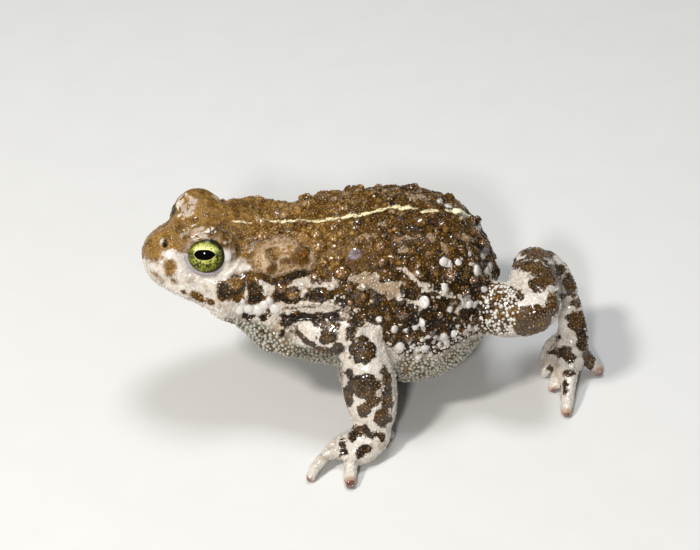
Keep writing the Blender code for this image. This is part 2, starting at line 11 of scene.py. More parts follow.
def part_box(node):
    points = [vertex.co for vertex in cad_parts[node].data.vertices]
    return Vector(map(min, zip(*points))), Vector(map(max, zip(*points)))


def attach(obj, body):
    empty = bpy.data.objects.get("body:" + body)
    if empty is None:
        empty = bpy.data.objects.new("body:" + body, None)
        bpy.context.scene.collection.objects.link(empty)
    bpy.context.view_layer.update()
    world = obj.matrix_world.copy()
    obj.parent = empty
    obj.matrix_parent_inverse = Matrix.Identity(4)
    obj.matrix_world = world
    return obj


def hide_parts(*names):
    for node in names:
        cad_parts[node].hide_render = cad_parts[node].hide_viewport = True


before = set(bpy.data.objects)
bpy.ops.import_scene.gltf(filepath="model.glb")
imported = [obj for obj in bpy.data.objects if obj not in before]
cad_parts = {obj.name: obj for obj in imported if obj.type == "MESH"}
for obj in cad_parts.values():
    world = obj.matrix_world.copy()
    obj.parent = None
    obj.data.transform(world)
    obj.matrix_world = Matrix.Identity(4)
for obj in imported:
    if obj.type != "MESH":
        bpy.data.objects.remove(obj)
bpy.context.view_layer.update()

MM = 0.001

# Camera
# It stands where the photograph was taken from: over the toad's left side and a little ahead of it.
# The same lens and place turn a point of the skin into a pixel of the photograph, which places the markings.
PHOTO_WIDTH = 700
PHOTO_HEIGHT = 550
LENS = 100
SENSOR = 36
DISTANCE = 397 * MM
AHEAD = math.radians(10)
RISE = math.radians(34)
AIM = Vector((-3.09, 7.23, 15.74)) * MM
to_camera = Vector((-math.sin(AHEAD) * math.cos(RISE), -math.cos(AHEAD) * math.cos(RISE), math.sin(RISE)))
to_right = Vector((math.cos(AHEAD), -math.sin(AHEAD), 0))
to_top = to_camera.cross(to_right)


def placed(name, data):
    """A new object of the scene."""
    made = bpy.data.objects.new(name, data)
    bpy.context.scene.collection.objects.link(made)
    return made


camera = placed("camera", bpy.data.cameras.new("camera"))
camera.data.lens = LENS
camera.data.sensor_width = SENSOR
camera.data.clip_start = 10 * MM
camera.data.clip_end = 10
camera.location = AIM + to_camera * DISTANCE
camera.rotation_euler = to_camera.to_track_quat("Z", "Y").to_euler()
bpy.context.scene.camera = camera


def photo_pixels(points):
    """The photograph's pixel, across and down, at which each point in millimetres is seen."""
    offset = points - np.array(camera.location) / MM
    depth = -(offset @ np.array(to_camera))
    pixels = LENS / SENSOR * PHOTO_WIDTH / depth
    across = PHOTO_WIDTH / 2 + offset @ np.array(to_right) * pixels
    down = PHOTO_HEIGHT / 2 - offset @ np.array(to_top) * pixels
    return across, down


def sight(across, down):
    """The direction in which the camera sees a pixel of the photograph."""
    step = SENSOR / LENS / PHOTO_WIDTH
    side = to_right * (across - PHOTO_WIDTH / 2) + to_top * (PHOTO_HEIGHT / 2 - down)
    return (side * step - to_camera).normalized()


# Nodes of materials
# Sums in a material are written as Python expressions on these readings, and each sum adds a Math node.
class Reading:
    """A value that changes over a surface, as a socket of a material's node tree."""

    def __init__(self, tree, socket):
        self.tree = tree
        self.socket = socket

    def sum(self, operation, *values):
        return self.tree.sum_of(operation, *values)

    def __add__(self, other):
        return self.sum("ADD", self, other)

    __radd__ = __add__

    def __sub__(self, other):
        return self.sum("SUBTRACT", self, other)

    def __rsub__(self, other):
        return self.sum("SUBTRACT", other, self)

    def __mul__(self, other):
        return self.sum("MULTIPLY", self, other)

    __rmul__ = __mul__

    def __truediv__(self, other):
        return self.sum("DIVIDE", self, other)

    def __abs__(self):
        return self.sum("ABSOLUTE", self)

    def __pow__(self, other):
        return self.sum("POWER", self, other)

    def most(self, other):
        return self.sum("MAXIMUM", self, other)


class Finish:
    """A new material with a Principled shader, and the ways to add nodes to it."""

    def __init__(self, name):
        self.material = bpy.data.materials.new(name)
        self.material.use_nodes = True
        self.nodes = self.material.node_tree.nodes
        self.links = self.material.node_tree.links
        self.shader = self.nodes["Principled BSDF"]

    def node(self, kind, settings, sockets, output=0):
        """Adds a node of that type, sets it, then fills its sockets, and reads one output."""
        made = self.nodes.new(kind)
        for name, value in settings.items():
            setattr(made, name, value)
        for name, value in sockets.items():
            self.fill(made.inputs[name], value)
        return Reading(self, made.outputs[output])

    def fill(self, socket, value):
        if isinstance(value, Reading):
            self.links.new(value.socket, socket)
        else:
            socket.default_value = value

    def attribute(self, name):
        return self.node("ShaderNodeAttribute", {"attribute_name": name}, {}, "Fac")

    def place(self):
        return self.node("ShaderNodeTexCoord", {}, {}, "Object")

    def noise(self, size, detail=2.0, roughness=0.5, place=None):
        """Soft noise about 0 from -1 to 1, with lumps of that size in millimetres."""
        sockets = {"Vector": place or self.place(), "Scale": 1 / (size * MM)}
        sockets.update({"Detail": detail, "Roughness": roughness})
        return self.node("ShaderNodeTexNoise", {}, sockets, "Fac") * 2 - 1

    def step(self, value, low, high):
        """0 below low and 1 above high, with a soft step between them."""
        sockets = {"Value": value, "From Min": low, "From Max": high}
        return self.node("ShaderNodeMapRange", {"interpolation_type": "SMOOTHSTEP"}, sockets)

    def mix(self, share, first, second, blend="MIX"):
        """The colour between two colours, or the second laid on the first by another blend."""
        made = self.nodes.new("ShaderNodeMix")
        made.data_type = "RGBA"
        made.blend_type = blend
        self.fill(made.inputs[0], share)
        self.fill(made.inputs[6], first)
        self.fill(made.inputs[7], second)
        return Reading(self, made.outputs[2])

    def sum_of(self, operation, *values):
        """A Math node of that operation on the values."""
        return self.node("ShaderNodeMath", {"operation": operation}, dict(enumerate(values)))

    def set(self, **values):
        for name, value in values.items():
            self.fill(self.shader.inputs[name.replace("_", " ")], value)


# Floor and light
# A pale matt studio floor under soft light. Two small lamps on the toad's left give the wet skin its glints,
# and a wider one above fills the shadows.
FLOOR_WIDTH = 3.0
FLOOR_GREY = (0.52, 0.515, 0.50, 1)
FLOOR_PALE = (0.55, 0.545, 0.53, 1)
STUDIO_WHITE = (0.98, 0.97, 0.95, 1)
STUDIO_STRENGTH = 0.185
LAMP_TARGET = Vector((0, 0, 0.02))


def meshed(shape, name):
    """The finished mesh of a shape under work, which is freed."""
    mesh = bpy.data.meshes.new(name)
    shape.to_mesh(mesh)
    shape.free()
    return mesh


floor_finish = Finish("pale_floor")
floor_grain = floor_finish.noise(12, 3)
floor_finish.set(
    Base_Color=floor_finish.mix(floor_grain * 0.5 + 0.5, FLOOR_GREY, FLOOR_PALE),
    Roughness=0.9,
)
floor_shape = bmesh.new()
bmesh.ops.create_grid(floor_shape, x_segments=1, y_segments=1, size=FLOOR_WIDTH / 2)
floor = placed("floor", meshed(floor_shape, "floor"))
floor.data.materials.append(floor_finish.material)

world = bpy.data.worlds.new("studio")
world.use_nodes = True
backdrop = world.node_tree.nodes["Background"]
backdrop.inputs["Color"].default_value = STUDIO_WHITE
backdrop.inputs["Strength"].default_value = STUDIO_STRENGTH
bpy.context.scene.world = world
bpy.context.scene.view_settings.view_transform = "Standard"


def lamp(name, place, width, power, colour):
    """A square soft lamp at a place in metres, turned to the toad."""
    light = placed(name, bpy.data.lights.new(name, "AREA"))
    light.data.size = width
    light.data.energy = power
    light.data.color = colour
    light.location = place
    light.rotation_euler = (Vector(place) - LAMP_TARGET).to_track_quat("Z", "Y").to_euler()


lamp("key", (-0.42, -0.24, 0.56), 0.09, 4.6, (1.0, 0.97, 0.92))
lamp("sky", (0.04, 0.10, 0.62), 0.18, 2.2, (0.90, 0.95, 1.0))
lamp("front", (-0.27, -0.72, 0.46), 0.08, 5.0, (1.0, 0.98, 0.96))

# Skin
# The skin is one moist, warty hide over the head, trunk and limbs. It is made from the solids, grown until
# they overlap, fused into one closed mesh, smoothed and drawn back, so that no parting between them shows.
FLESH_NODES = sorted(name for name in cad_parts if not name.startswith("eye"))
SWELL = 0.34
SKIN_CELL = 0.51
DOUBLES_GAP = 0.001 * MM
FACE_ENDS = -26.5
MIDLINE = -1.98
BODY_NODES = ("head", "torso")


def grown_flesh():
    """The solids under the skin as one mesh of overlapping closed shells, and the node of each face."""
    flesh = bmesh.new()
    owners = []
    for name in FLESH_NODES:
        solid = bmesh.new()
        solid.from_mesh(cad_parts[name].data)
        bmesh.ops.remove_doubles(solid, verts=solid.verts, dist=DOUBLES_GAP)
        solid.normal_update()
        for corner in solid.verts:
            corner.co += corner.normal * SWELL * MM
        shell = meshed(solid, name + "_shell")
        owners += [name] * len(shell.polygons)
        flesh.from_mesh(shell)
        bpy.data.meshes.remove(shell)
    return meshed(flesh, "flesh"), owners


def fused(mesh):
    """One closed mesh of even quads round overlapping shells, with finer quads on the face."""
    holder = placed("flesh", mesh)
    remesh = holder.modifiers.new("fuse", "REMESH")
    remesh.mode = "VOXEL"
    remesh.voxel_size = SKIN_CELL * MM
    result = bpy.data.meshes.new_from_object(holder.evaluated_get(bpy.context.evaluated_depsgraph_get()))
    bpy.data.objects.remove(holder)
    fine = bmesh.new()
    fine.from_mesh(result)
    edges = [edge for edge in fine.edges if max(end.co.x for end in edge.verts) < FACE_ENDS * MM]
    bmesh.ops.subdivide_edges(fine, edges=edges, cuts=1, use_grid_fill=True)
    fine.to_mesh(result)
    fine.free()
    return result


def read_points(mesh):
    """The mesh's corners in millimetres."""
    flat = np.empty(len(mesh.vertices) * 3)
    mesh.vertices.foreach_get("co", flat)
    return flat.reshape(-1, 3) / MM


def write_points(mesh, points):
    """Moves the mesh's corners to points in millimetres."""
    mesh.vertices.foreach_set("co", (points * MM).ravel())
    mesh.update()


def read_normals(mesh):
    """The outward direction at each corner."""
    flat = np.empty(len(mesh.vertices) * 3)
    mesh.vertex_normals.foreach_get("vector", flat)
    return flat.reshape(-1, 3)


def read_edges(mesh):
    """The two corners of each edge."""
    flat = np.empty(len(mesh.edges) * 2, dtype=np.int64)
    mesh.edges.foreach_get("vertices", flat)
    return flat.reshape(-1, 2)


def relaxed(values, edges, pulls):
    """Values at the corners, moved towards the mean of their neighbours by each pull in turn."""
    total = len(values)
    neighbours = np.bincount(edges.ravel(), minlength=total)[:, None]
    for pull in pulls:
        summed = np.empty_like(values)
        for column in range(values.shape[1]):
            one = np.bincount(edges[:, 0], values[edges[:, 1], column], total)
            other = np.bincount(edges[:, 1], values[edges[:, 0], column], total)
            summed[:, column] = one + other
        values = values + pull * (summed / neighbours - values)
    return values


def eased(value, low, high):
    """0 below low and 1 above high, with a soft step between them."""
    share = np.clip((value - low) / (high - low), 0, 1)
    return share * share * (3 - 2 * share)


def search_tree(mesh, points):
    """A tree that finds the face nearest a place or met by a ray, with the mesh's corners at the points."""
    return BVHTree.FromPolygons(points.tolist(), [tuple(face.vertices) for face in mesh.polygons])


flesh_mesh, flesh_owners = grown_flesh()
flesh_tree = search_tree(flesh_mesh, read_points(flesh_mesh))
skin_mesh = fused(flesh_mesh)
skin_edges = read_edges(skin_mesh)
skin_points = read_points(skin_mesh)

# The part of the toad that each corner belongs to, blended over a few millimetres at the joints
PARTS = ("body", "arm_left", "leg_left", "arm_right", "leg_right")
SHARE_PULLS = [0.6] * 14
SKIN_PULLS = [0.5, -0.52] * 9 + [0.35] * 2


def part_of(node):
    """The part that a node belongs to."""
    if node in BODY_NODES:
        return "body"
    limb = "arm" if node.startswith(("upper_arm", "forearm", "hand")) else "leg"
    return limb + node[node.rindex("_"):]


owner_part = [PARTS.index(part_of(name)) for name in flesh_owners]
nearest_face = [flesh_tree.find_nearest(point)[2] for point in skin_points.tolist()]
skin_shares = np.eye(len(PARTS))[[owner_part[face] for face in nearest_face]]
skin_shares = relaxed(skin_shares, skin_edges, SHARE_PULLS)

skin_points = relaxed(skin_points, skin_edges, SKIN_PULLS)
write_points(skin_mesh, skin_points)
skin_points = skin_points - read_normals(skin_mesh) * SWELL
write_points(skin_mesh, skin_points)

# Small swells and hollows of the outline: middle, reach, and shift to the photograph's right and top, all in
# millimetres
SHAPING = {
    "far temple": (-26.8, 6.2, 35.6, 3, 0, 1.8), "far temple back": (-23.6, 7.5, 35.2, 2.4, 0, 0.4),
    "brow front": (-40.4, 5, 37, 2, 0, -1.3), "snout tip": (-44.2, 0.5, 34, 2.2, 0, -0.9),
    "far brow": (-29.8, 6.4, 38.7, 2.4, 0, -2.5), "far eye": (-35, 6.5, 39.5, 2.2, 0, 0.7),
    "far gland": (-16.5, 9.6, 35.5, 4.6, 0, -1.9), "snout top": (-41.5, 2.4, 36, 2.6, 0.5, -1.1),
    "back front": (-8, 9, 35.5, 5, 0, 0.3), "back top": (5.3, 8.8, 35.1, 6, 0, -1),
    "back top rear": (10.4, 4.8, 35.6, 5, 0, -0.4), "rump edge": (21.9, -2.8, 29.6, 5, -0.9, -0.5),
    "rump edge low": (21.6, -10.4, 27.7, 5, -1, -0.3),
}


def shifted(points, middle, reach, shift):
    """The points with those about a middle shifted, most at the middle itself."""
    share = np.exp(-((np.linalg.norm(points - middle, axis=1) / reach) ** 2))
    return points + share[:, None] * shift


for x, y, z, reach, shift_right, shift_top in SHAPING.values():
    shift = np.array(to_right * shift_right + to_top * shift_top)
    skin_points = shifted(skin_points, (x, y, z), reach, shift)

# The throat hangs fuller than the solids, on both sides alike: middle, reach and drop, in millimetres
THROAT_SWELLS = {
    "front": (-31.4, -12.5, 24.6, 3.2, 1.7), "middle": (-24, -13, 19.5, 4.8, 3.6),
    "back": (-19, -15, 17.5, 4, 1.8), "chest": (-14.5, -17.5, 16, 3.5, 1.4),
}
for x, y, z, reach, drop in THROAT_SWELLS.values():
    for side in (1, -1):
        middle = (x, MIDLINE + side * (y - MIDLINE), z)
        skin_points = shifted(skin_points, middle, reach, np.array(to_top * -drop) * (1, side, 1))
write_points(skin_mesh, skin_points)

# The markings and warts as they lie in the photograph, in its pixels, named by where they sit on the toad.
# An oval is its middle across and down, half width, half height and lean in degrees. A line is its half
# width and corners, and a fold is its height in millimetres, reach and corners. The far side takes the same
# ones, mirrored.
BELLY_LINE = (
    (140, 262), (150, 284), (170, 296), (200, 312), (225, 309), (250, 320), (272, 325), (300, 336),
    (340, 352), (378, 354), (395, 360), (408, 350), (432, 356), (447, 350), (462, 340), (480, 332),
    (500, 325), (560, 318),
)
CHEEK = (
    (138, 256), (158, 262), (163, 251), (172, 250), (182, 254), (188, 262), (196, 270), (212, 272),
    (224, 268), (230, 260), (234, 256), (240, 260), (246, 268), (240, 276), (230, 278), (219, 282),
    (216, 292), (222, 301), (238, 303), (240, 312), (225, 322), (200, 318), (170, 302), (140, 290),
)
FLANK_FOLDS = (
    (262, 306), (280, 299), (298, 296), (316, 299), (334, 302), (345, 308), (352, 314), (338, 316),
    (316, 313), (279, 314),
)
THROAT_FIELD = (
    (225, 310), (250, 312.5), (285, 314), (300, 318), (322, 330), (335, 345), (338, 380), (225, 380),
)
THROAT_BEADS = (
    (246, 321), (262, 323), (271, 333), (284, 342), (302, 346), (318, 349), (334, 352), (342, 362),
    (342, 385), (225, 385), (225, 317),
)
GRAINY_FIELD = (
    (350, 275), (372, 271), (381, 283), (405, 282), (400, 291), (391, 300), (375, 291), (352, 284),
)
GLAND_FIELD = (
    (252, 262), (258, 248), (270, 240), (288, 238), (306, 244), (317, 256), (316, 266), (304, 271),
    (286, 276), (268, 280), (256, 274),
)
PALE_PATCHES = {
    "nostril rim": ((163, 241.5, 2.2, 3.2),), "eye corner": ((229, 257, 3.5, 9),),
    "rump bar": ((415, 196, 10, 4), (427, 201, 5, 2), (421, 190, 4, 2)), "crest": ((386, 192, 3, 2),),
    "far back": ((360, 188, 5, 3), (333, 198, 5, 3), (323, 193, 5, 2), (355, 201, 3, 2)),
    "back": (
        (380, 224, 6, 2.5), (372, 236, 6, 3), (361, 238, 8, 3), (352, 243, 3, 4), (405, 249, 6, 3),
        (430, 238, 6, 3.5), (444, 247, 2.5, 5), (446, 254, 2, 5),
    ),
    "rump point": ((466, 238, 6, 5), (467, 246, 3, 4)),
    "behind the eye": ((240, 262, 6, 5), (247, 268, 4, 4)),
    "ear dots": ((263, 282, 3, 3), (270, 288, 2.5, 2.5), (266, 292, 2.5, 2.5)),
    "under the gland": (
        (292, 284, 4, 2), (268.5, 289, 4.5, 9), (246, 292, 1.3, 9), (304, 294, 3.2, 11), (303, 282, 8, 6),
        (318, 284, 12, 3), (333, 284, 7, 5),
    ),
    "flank": ((415, 303, 5, 3), (397, 292, 4, 8), (424, 302, 5, 6)), "jaw end": ((228, 304.5, 8, 4.5),),
    "rump side": ((452, 298, 2.5, 3.5), (470, 298, 4, 3)),
}
MOTTLED_PATCHES = {
    "upper lid": ((204, 235, 19, 6), (219, 238, 6, 4)), "far eye": ((186, 206, 9.5, 12),),
}
PALE_LINES = {
    "back line": (2, (392, 242), (402, 239), (418, 236)),
    "flank line": (2.4, (401, 269), (412, 275), (420, 283), (427, 290), (440, 293), (452, 297), (470, 300)),
    "flank branch": (2, (392, 285), (397, 298), (405, 300), (415, 303), (424, 302), (417, 310), (419, 320)),
    "rump line": (1.6, (474, 262), (477, 270)),
    "lower row": (2.2, (444, 319), (452, 314), (460, 309), (470, 305), (478, 305)),
    "fold edge": (1.3, (345, 309), (362, 319), (376, 332)),
    "fold top": (1, (292, 293), (318, 291), (338, 295)),
}
WHITE_WARTS = {
    "stripe end": ((440, 201, 4, 2.5), (448, 206, 4, 3), (457, 211, 5, 3), (465, 215, 4, 2.5)),
    "rump": (
        (479, 228, 4, 3), (444, 262, 4.5, 5), (458, 262, 3, 4), (450, 264, 1.5, 2.5), (470, 254, 2, 3),
        (483, 256, 3, 4), (477, 271, 3.5, 6), (490, 266, 2, 5), (487, 271, 2, 3),
    ),
    "hip": ((484, 289, 4, 3.5),), "flank": ((445, 288, 3.5, 5), (424, 302, 5, 6)),
    "jaw": (
        (239.5, 310, 4.2, 4.8), (248.8, 309.5, 5, 4.6), (258.5, 310, 5.6, 5), (264, 305.5, 4.6, 4.6),
        (269.5, 301.5, 3.4, 3.8), (275.5, 309.5, 5.3, 5.4), (242.8, 302, 2.3, 2.6),
    ),
    "armpit": ((379, 319, 3, 3), (379, 328, 2.6, 2.6)),
    "side": ((395, 329, 3.6, 3.6), (422, 323, 3, 4), (400, 347, 4.5, 5.5), (406, 330, 2.5, 2)),
    "low flank": (
        (425, 348, 4, 3), (430, 355, 3, 3), (417, 350, 2, 2.5), (422, 340, 2, 2), (411, 347, 2, 2),
        (418, 358, 2.5, 2.5),
    ),
    "belly row": (
        (444, 337, 3.5, 3.5), (454, 334, 3.2, 3.8), (439, 345, 2, 3.5), (446, 343, 3.2, 3), (458, 326, 2, 2),
        (469, 328, 2.8, 3.4), (476, 328, 2.8, 3.4), (481, 318, 2, 2), (490, 320, 1.6, 2.8),
    ),
    "dull": ((435, 337, 2, 2), (428, 337, 2, 2)),
    "flank line": ((450, 309, 3, 3.6), (463, 303, 2.2, 4), (469, 305, 3, 4), (475, 305, 3.6, 3.6)),
    "thigh root": ((487, 300, 2.6, 4),), "behind the arm": ((415, 328, 2.6, 2.6),),
}
BROWN_WARTS = {
    "front of the back": (
        (334, 238, 5, 4), (334, 227, 5, 3.5), (310, 227, 4.5, 3), (317, 247, 6.5, 5.5), (285, 215, 6, 4),
    ),
    "far side": ((306, 204, 7, 5), (345, 208, 6, 4.5), (373, 194, 6, 4.5)),
    "back and side": ((380, 246, 6, 5.5), (382, 262, 6, 5.5), (323, 263, 4.5, 4)),
    "stripe and eye": ((257, 218, 4, 3.2), (262, 236, 7, 5), (392, 212, 6, 4), (352, 223, 5, 3.6)),
    "hip": ((450, 274, 5.5, 7), (473, 280, 5.5, 5)), "side": ((440, 315, 4.5, 4.5),),
    "middle of the back": ((405, 262, 4, 4), (418, 265, 4, 4), (396, 230, 5, 4), (437, 232, 4, 5)),
    "smaller": (
        (461, 250, 3.5, 5), (298, 210, 4, 3.2), (390, 199, 5, 3.4), (277, 231, 4, 3.2), (294, 234, 4, 3),
        (386, 293, 4, 3.6), (358, 228, 3.6, 2.8), (482, 243, 4, 4),
    ),
}
NOSTRIL = (165, 244)
DARK_PATCHES = {
    # The nostril's small pit is painted black: painted shade inside the opening.
    "nostril": ((*NOSTRIL, 2.2, 3.2),),
    "ear": ((235.5, 284.5, 10, 10.5), (225, 291, 6, 7), (255.5, 293, 8, 12)),
    "shoulder": ((287.5, 295.5, 13.5, 9), (320, 295.5, 14.5, 8.5)),
    "flank": (
        (359, 300, 25, 8), (413, 290, 10.5, 7.5, 25), (405, 312, 13, 9), (436, 303, 14, 8, 35),
        (454, 302, 5, 5),
    ),
    "behind the arm": ((388, 345, 8, 14),), "belly": ((408, 352, 6, 6), (400, 338, 10, 5), (440, 322, 24, 9)),
    # The armpit patch is painted shade deep in the armpit.
    "armpit": ((288, 324, 7, 3),),
    "under the jaw": ((248, 316, 6, 4), (264.5, 316.5, 5.5, 3), (249, 323, 3, 2.5)),
    "throat": ((263, 331, 3, 4), (266, 339, 2, 2), (282.5, 335.5, 4, 3.5)),
    # The arm crease patch is painted shade in the fold beside the arm.
    "arm crease": ((297, 333, 2.5, 7),), "far eye": ((173, 210, 2, 5),),
    "hip": ((470, 318, 20, 6), (484, 308, 9, 22)), "elbow": ((362, 325, 14, 8, 35),),
}
ARMPIT = ((284, 318), (316, 318), (334, 316))
DARK_LINES = {
    "gland edge": (
        2.7, (264, 277), (270, 281), (277, 282.5), (285, 277.5), (292, 274), (298, 271.5), (304, 275),
    ),
    "fold one": (0.7, (283, 309), (310, 306.5), (335, 308), (352, 315), (366, 327)),
    "fold two": (0.6, (296, 301), (318, 300), (338, 304), (356, 312), (372, 326)),
    "fold three": (0.6, (346, 318), (358, 326), (366, 336)),
    "under gland": (3.3, (264, 276), (271, 281), (281, 283), (290, 279), (298, 273), (304, 272)),
    # The armpit and arm fold lines are painted shade in those folds.
    "armpit": (4.5, *ARMPIT),
    "arm fold": (2.6, (299, 340), (310, 346.5), (322, 350)),
}
EARDRUM = (236, 283, 8.5, 7.5)
# Painted shade along the armpit and under the jaw, which turns those lines darkest brown
SHADED_CREASES = {"armpit": (4, *ARMPIT), "jaw": (1.5, (244, 317), (270, 317))}
FACE_SPOTS = {
    "brow and lid": (
        (225, 236, 4, 3), (212, 234, 4, 2), (218, 232, 5, 2.5), (222, 240, 3.5, 2), (224, 237, 4, 2.5),
    ),
    "behind the eye": ((238.5, 247, 2.5, 6),), "snout": ((151, 254, 5, 7),), "cheek": ((170, 268, 7, 9),),
    "lip": ((197, 296, 8, 4, 40), (210, 301.5, 5, 3, 30), (183, 292, 2, 2), (157, 276, 7, 2, 40)),
    "nostril": ((162, 257.5, 1.8, 2.2),), "snout fleck": ((175, 282, 4, 2, 30),),
}
DUSTY_OVALS = {
    "upper lid": ((206, 235, 20, 7),), "far eye": ((190, 209, 9, 12),), "hollow": ((241, 250, 4.5, 12),),
}
LILAC_SPOTS = {
    "back": ((354.5, 254.5, 6, 5),), "rump": ((485, 250, 3, 5),),
}
FOLDS = {
    "jaw ridge": (0.38, 3.2, (216, 303), (231, 304)),
    "shoulder ridge": (0.35, 2.6, (300, 304), (335, 303), (356, 310), (370, 320), (376, 332)),
    "shoulder valley": (-0.8, 2.6, (280, 318), (316, 319), (342, 315), (358, 322), (370, 332)),
    "upper fold": (0.28, 1.8, (268, 299), (290, 296), (318, 293), (342, 297)),
    "upper groove": (-0.25, 1.6, (275, 303), (296, 300), (320, 298), (348, 304)),
    "throat fold": (-0.3, 2, (262, 312), (282, 322), (300, 330), (322, 344)),
    "mouth": (-0.3, 1, (141, 270), (152, 283), (170, 293), (195, 305), (215, 312)),
    "brow ridge": (0.3, 2, (184, 238), (196, 229), (212, 228), (226, 234), (233, 243), (235, 254)),
    "brow groove": (-0.28, 1.6, (184, 231), (198, 224), (214, 223), (229, 229), (238, 240), (240, 254)),
    "behind eye": (0.25, 1.5, (238, 243), (242, 256), (236, 268), (226, 276)),
    "cheek fold": (-0.22, 1.4, (186, 274), (200, 283), (216, 283), (228, 276)),
    "flank fold": (-0.3, 2, (383, 318), (386, 332), (385, 348), (380, 360)),
    "flank ridge": (0.3, 2, (390, 318), (394, 334), (392, 352)),
}
LIMB_FOLDS = {
    "wrist": (-0.35, 1.2, (347, 428), (358, 433), (372, 432)),
    "wrist high": (-0.25, 1, (350, 421), (364, 424), (380, 420)),
    "wrist low": (-0.22, 1, (352, 439), (364, 441), (376, 438)),
    "elbow": (-0.35, 1.6, (340, 352), (352, 347), (372, 338)),
    "forearm": (-0.22, 1.2, (345, 377), (362, 374), (384, 378)),
    "palm": (-0.25, 1.2, (352, 461), (357, 453), (356, 446)), "finger": (-0.2, 1, (345, 468), (356, 469)),
    "thumb": (-0.2, 1, (328, 458), (333, 468)), "tarsus": (-0.45, 1.5, (560, 294), (580, 293)),
    "knee": (-0.35, 1.6, (516, 282), (534, 290), (546, 300), (556, 298)),
    "heel": (-0.35, 1.4, (556, 272), (560, 286), (560, 300)),
    "foot": (-0.25, 1.2, (560, 340), (574, 344), (588, 342)), "toe": (-0.18, 0.9, (561, 369), (572, 369)),
    "toe low": (-0.18, 0.9, (561, 388), (572, 388)),
    "thigh": (-0.3, 1.8, (512, 262), (518, 276), (530, 300), (534, 318)),
}
GLAND_OVALS = {
    "front": ((272.5, 254, 6.5, 7), (273, 268.5, 5.5, 6.5)), "middle": ((286, 260.5, 5, 4.5),),
    "right": ((301, 256, 9.5, 10),), "left low": ((260.5, 274, 4.5, 4.5),),
}
RUST_TIPS = {
    "gland": ((303, 254, 7), (310, 245, 4), (317, 247, 3)), "back": ((385, 245, 3), (385, 262, 3)),
    "hip": ((452, 273, 5), (476, 280, 4)), "rump": ((447, 258, 3), (468, 236, 3)),
    "flank": ((427, 302, 3), (421, 283, 2.5), (398, 295, 2.5), (334, 283, 3)),
    "side": ((440, 316, 3), (436, 323, 3)), "brow": ((194, 234, 7),),
}
STRIPE_LINES = {
    "front": (0.7, (232, 221), (240, 221.5), (253, 222.8)),
    "neck": (0.95, (263, 220), (268, 221.5), (280, 221.5), (300, 221.5)),
    "back": (
        1.15, (300, 221.5), (320, 220.5), (340, 218.3), (358, 215.5), (374, 212), (390, 207.5), (396, 206.5),
    ),
    "rump": (1.2, (396, 206.5), (402, 208.5), (417, 208.5)),
    "rump back": (1.1, (421, 211), (430, 211.5), (438, 210.5)),
    "end": (1.5, (446, 210.5), (452, 211.5), (460, 210.5), (469, 214)),
}
ARM_SHADOWS = {
    "armpit": (3.2, (276, 317), (300, 316.5), (318, 316), (336, 317)),
    "arm fold": (3.2, (296, 331), (306, 341), (318, 348), (330, 351)),
}
ARM_DARK = {
    "shoulder star": (
        (327, 337, 9, 7), (335, 326, 4, 5), (322, 323, 5, 4), (337, 320, 3, 8), (319, 322, 5, 3, 30),
    ),
    "upper arm": ((352, 335, 4, 8), (356, 322, 4, 4), (337, 349, 6, 5)),
    "forearm": (
        (363, 351, 13, 13), (348, 373, 4, 4), (364, 386, 15, 11), (348, 395, 5, 9), (364, 410, 6, 8, 20),
    ),
    "forearm edge": ((372, 401, 7, 6), (384, 371, 3, 5), (387, 383, 4, 9), (388, 401, 5, 12)),
    "wrist": ((382, 419, 8, 7), (360, 430, 13, 3.5, 10)),
    "hand": (
        (352, 438, 2.5, 3), (367, 434, 6, 3), (343, 446, 3, 8, -15), (362, 452, 6, 5, -30), (369, 449, 3, 3),
        (333, 464, 4, 2.5), (381, 436, 3, 4),
    ),
}
LEG_DARK = {
    "knee": ((537, 253, 16, 6, 8),),
    "shank": ((535, 268, 20, 6.5, 8), (549, 275, 10, 9), (537, 285, 9, 5, 30), (555, 276, 4, 7)),
    "knee side": ((552, 305, 7, 11, 20),),
    "thigh": ((531, 321, 19, 16), (481, 308, 12, 30), (513, 262, 3, 4)),
    "tarsus": ((562, 268, 4, 4), (571, 283, 8, 8), (570, 294, 9, 1.2), (577, 303, 6, 3.5)),
    "foot": (
        (577, 321, 11, 9.5), (583, 340, 6, 11, -15), (566, 354, 9, 6, 30), (572, 360, 3, 4),
        (560, 339, 2.5, 2),
    ),
    "toes": (
        (590, 357, 6, 5), (589, 367, 4, 3), (570, 373, 4, 3), (566, 383, 3, 3), (566, 392, 3, 3),
        (550, 370, 3, 3), (552, 352, 3, 3),
    ),
    "thigh spots": ((510, 290, 4, 3.5), (520, 295, 4, 3.5)), "hidden ring": ((538, 346, 3, 3),),
}
EYE_MIDDLE = (206.75, 255.5)
EYE_CORNER = (228.8, 257, 3, 10)
TOE_TIPS = {
    "fingers": ((351, 486, 14), (307, 481, 8)), "toes": ((567, 419, 15), (603, 377, 14), (554, 392, 8)),
}


def listed(groups):
    """The marks of all the groups, one after the other."""
    return [mark for group in groups.values() for mark in group]


def oval_distance(across, down, x, y, half_width, half_height, lean=0):
    """Pixels from an oval's edge, below zero inside it."""
    turn = math.radians(lean)
    along = (across - x) * math.cos(turn) + (down - y) * math.sin(turn)
    over = (down - y) * math.cos(turn) - (across - x) * math.sin(turn)
    return (np.hypot(along / half_width, over / half_height) - 1) * min(half_width, half_height)


def line_distance(across, down, half_width, *corners):
    """Pixels from the edge of a line of that half width."""
    nearest = np.full(len(across), np.inf)
    for (x0, y0), (x1, y1) in zip(corners, corners[1:]):
        run = ((across - x0) * (x1 - x0) + (down - y0) * (y1 - y0)) / ((x1 - x0) ** 2 + (y1 - y0) ** 2)
        run = np.clip(run, 0, 1)
        nearest = np.minimum(nearest, np.hypot(across - x0 - run * (x1 - x0), down - y0 - run * (y1 - y0)))
    return nearest - half_width


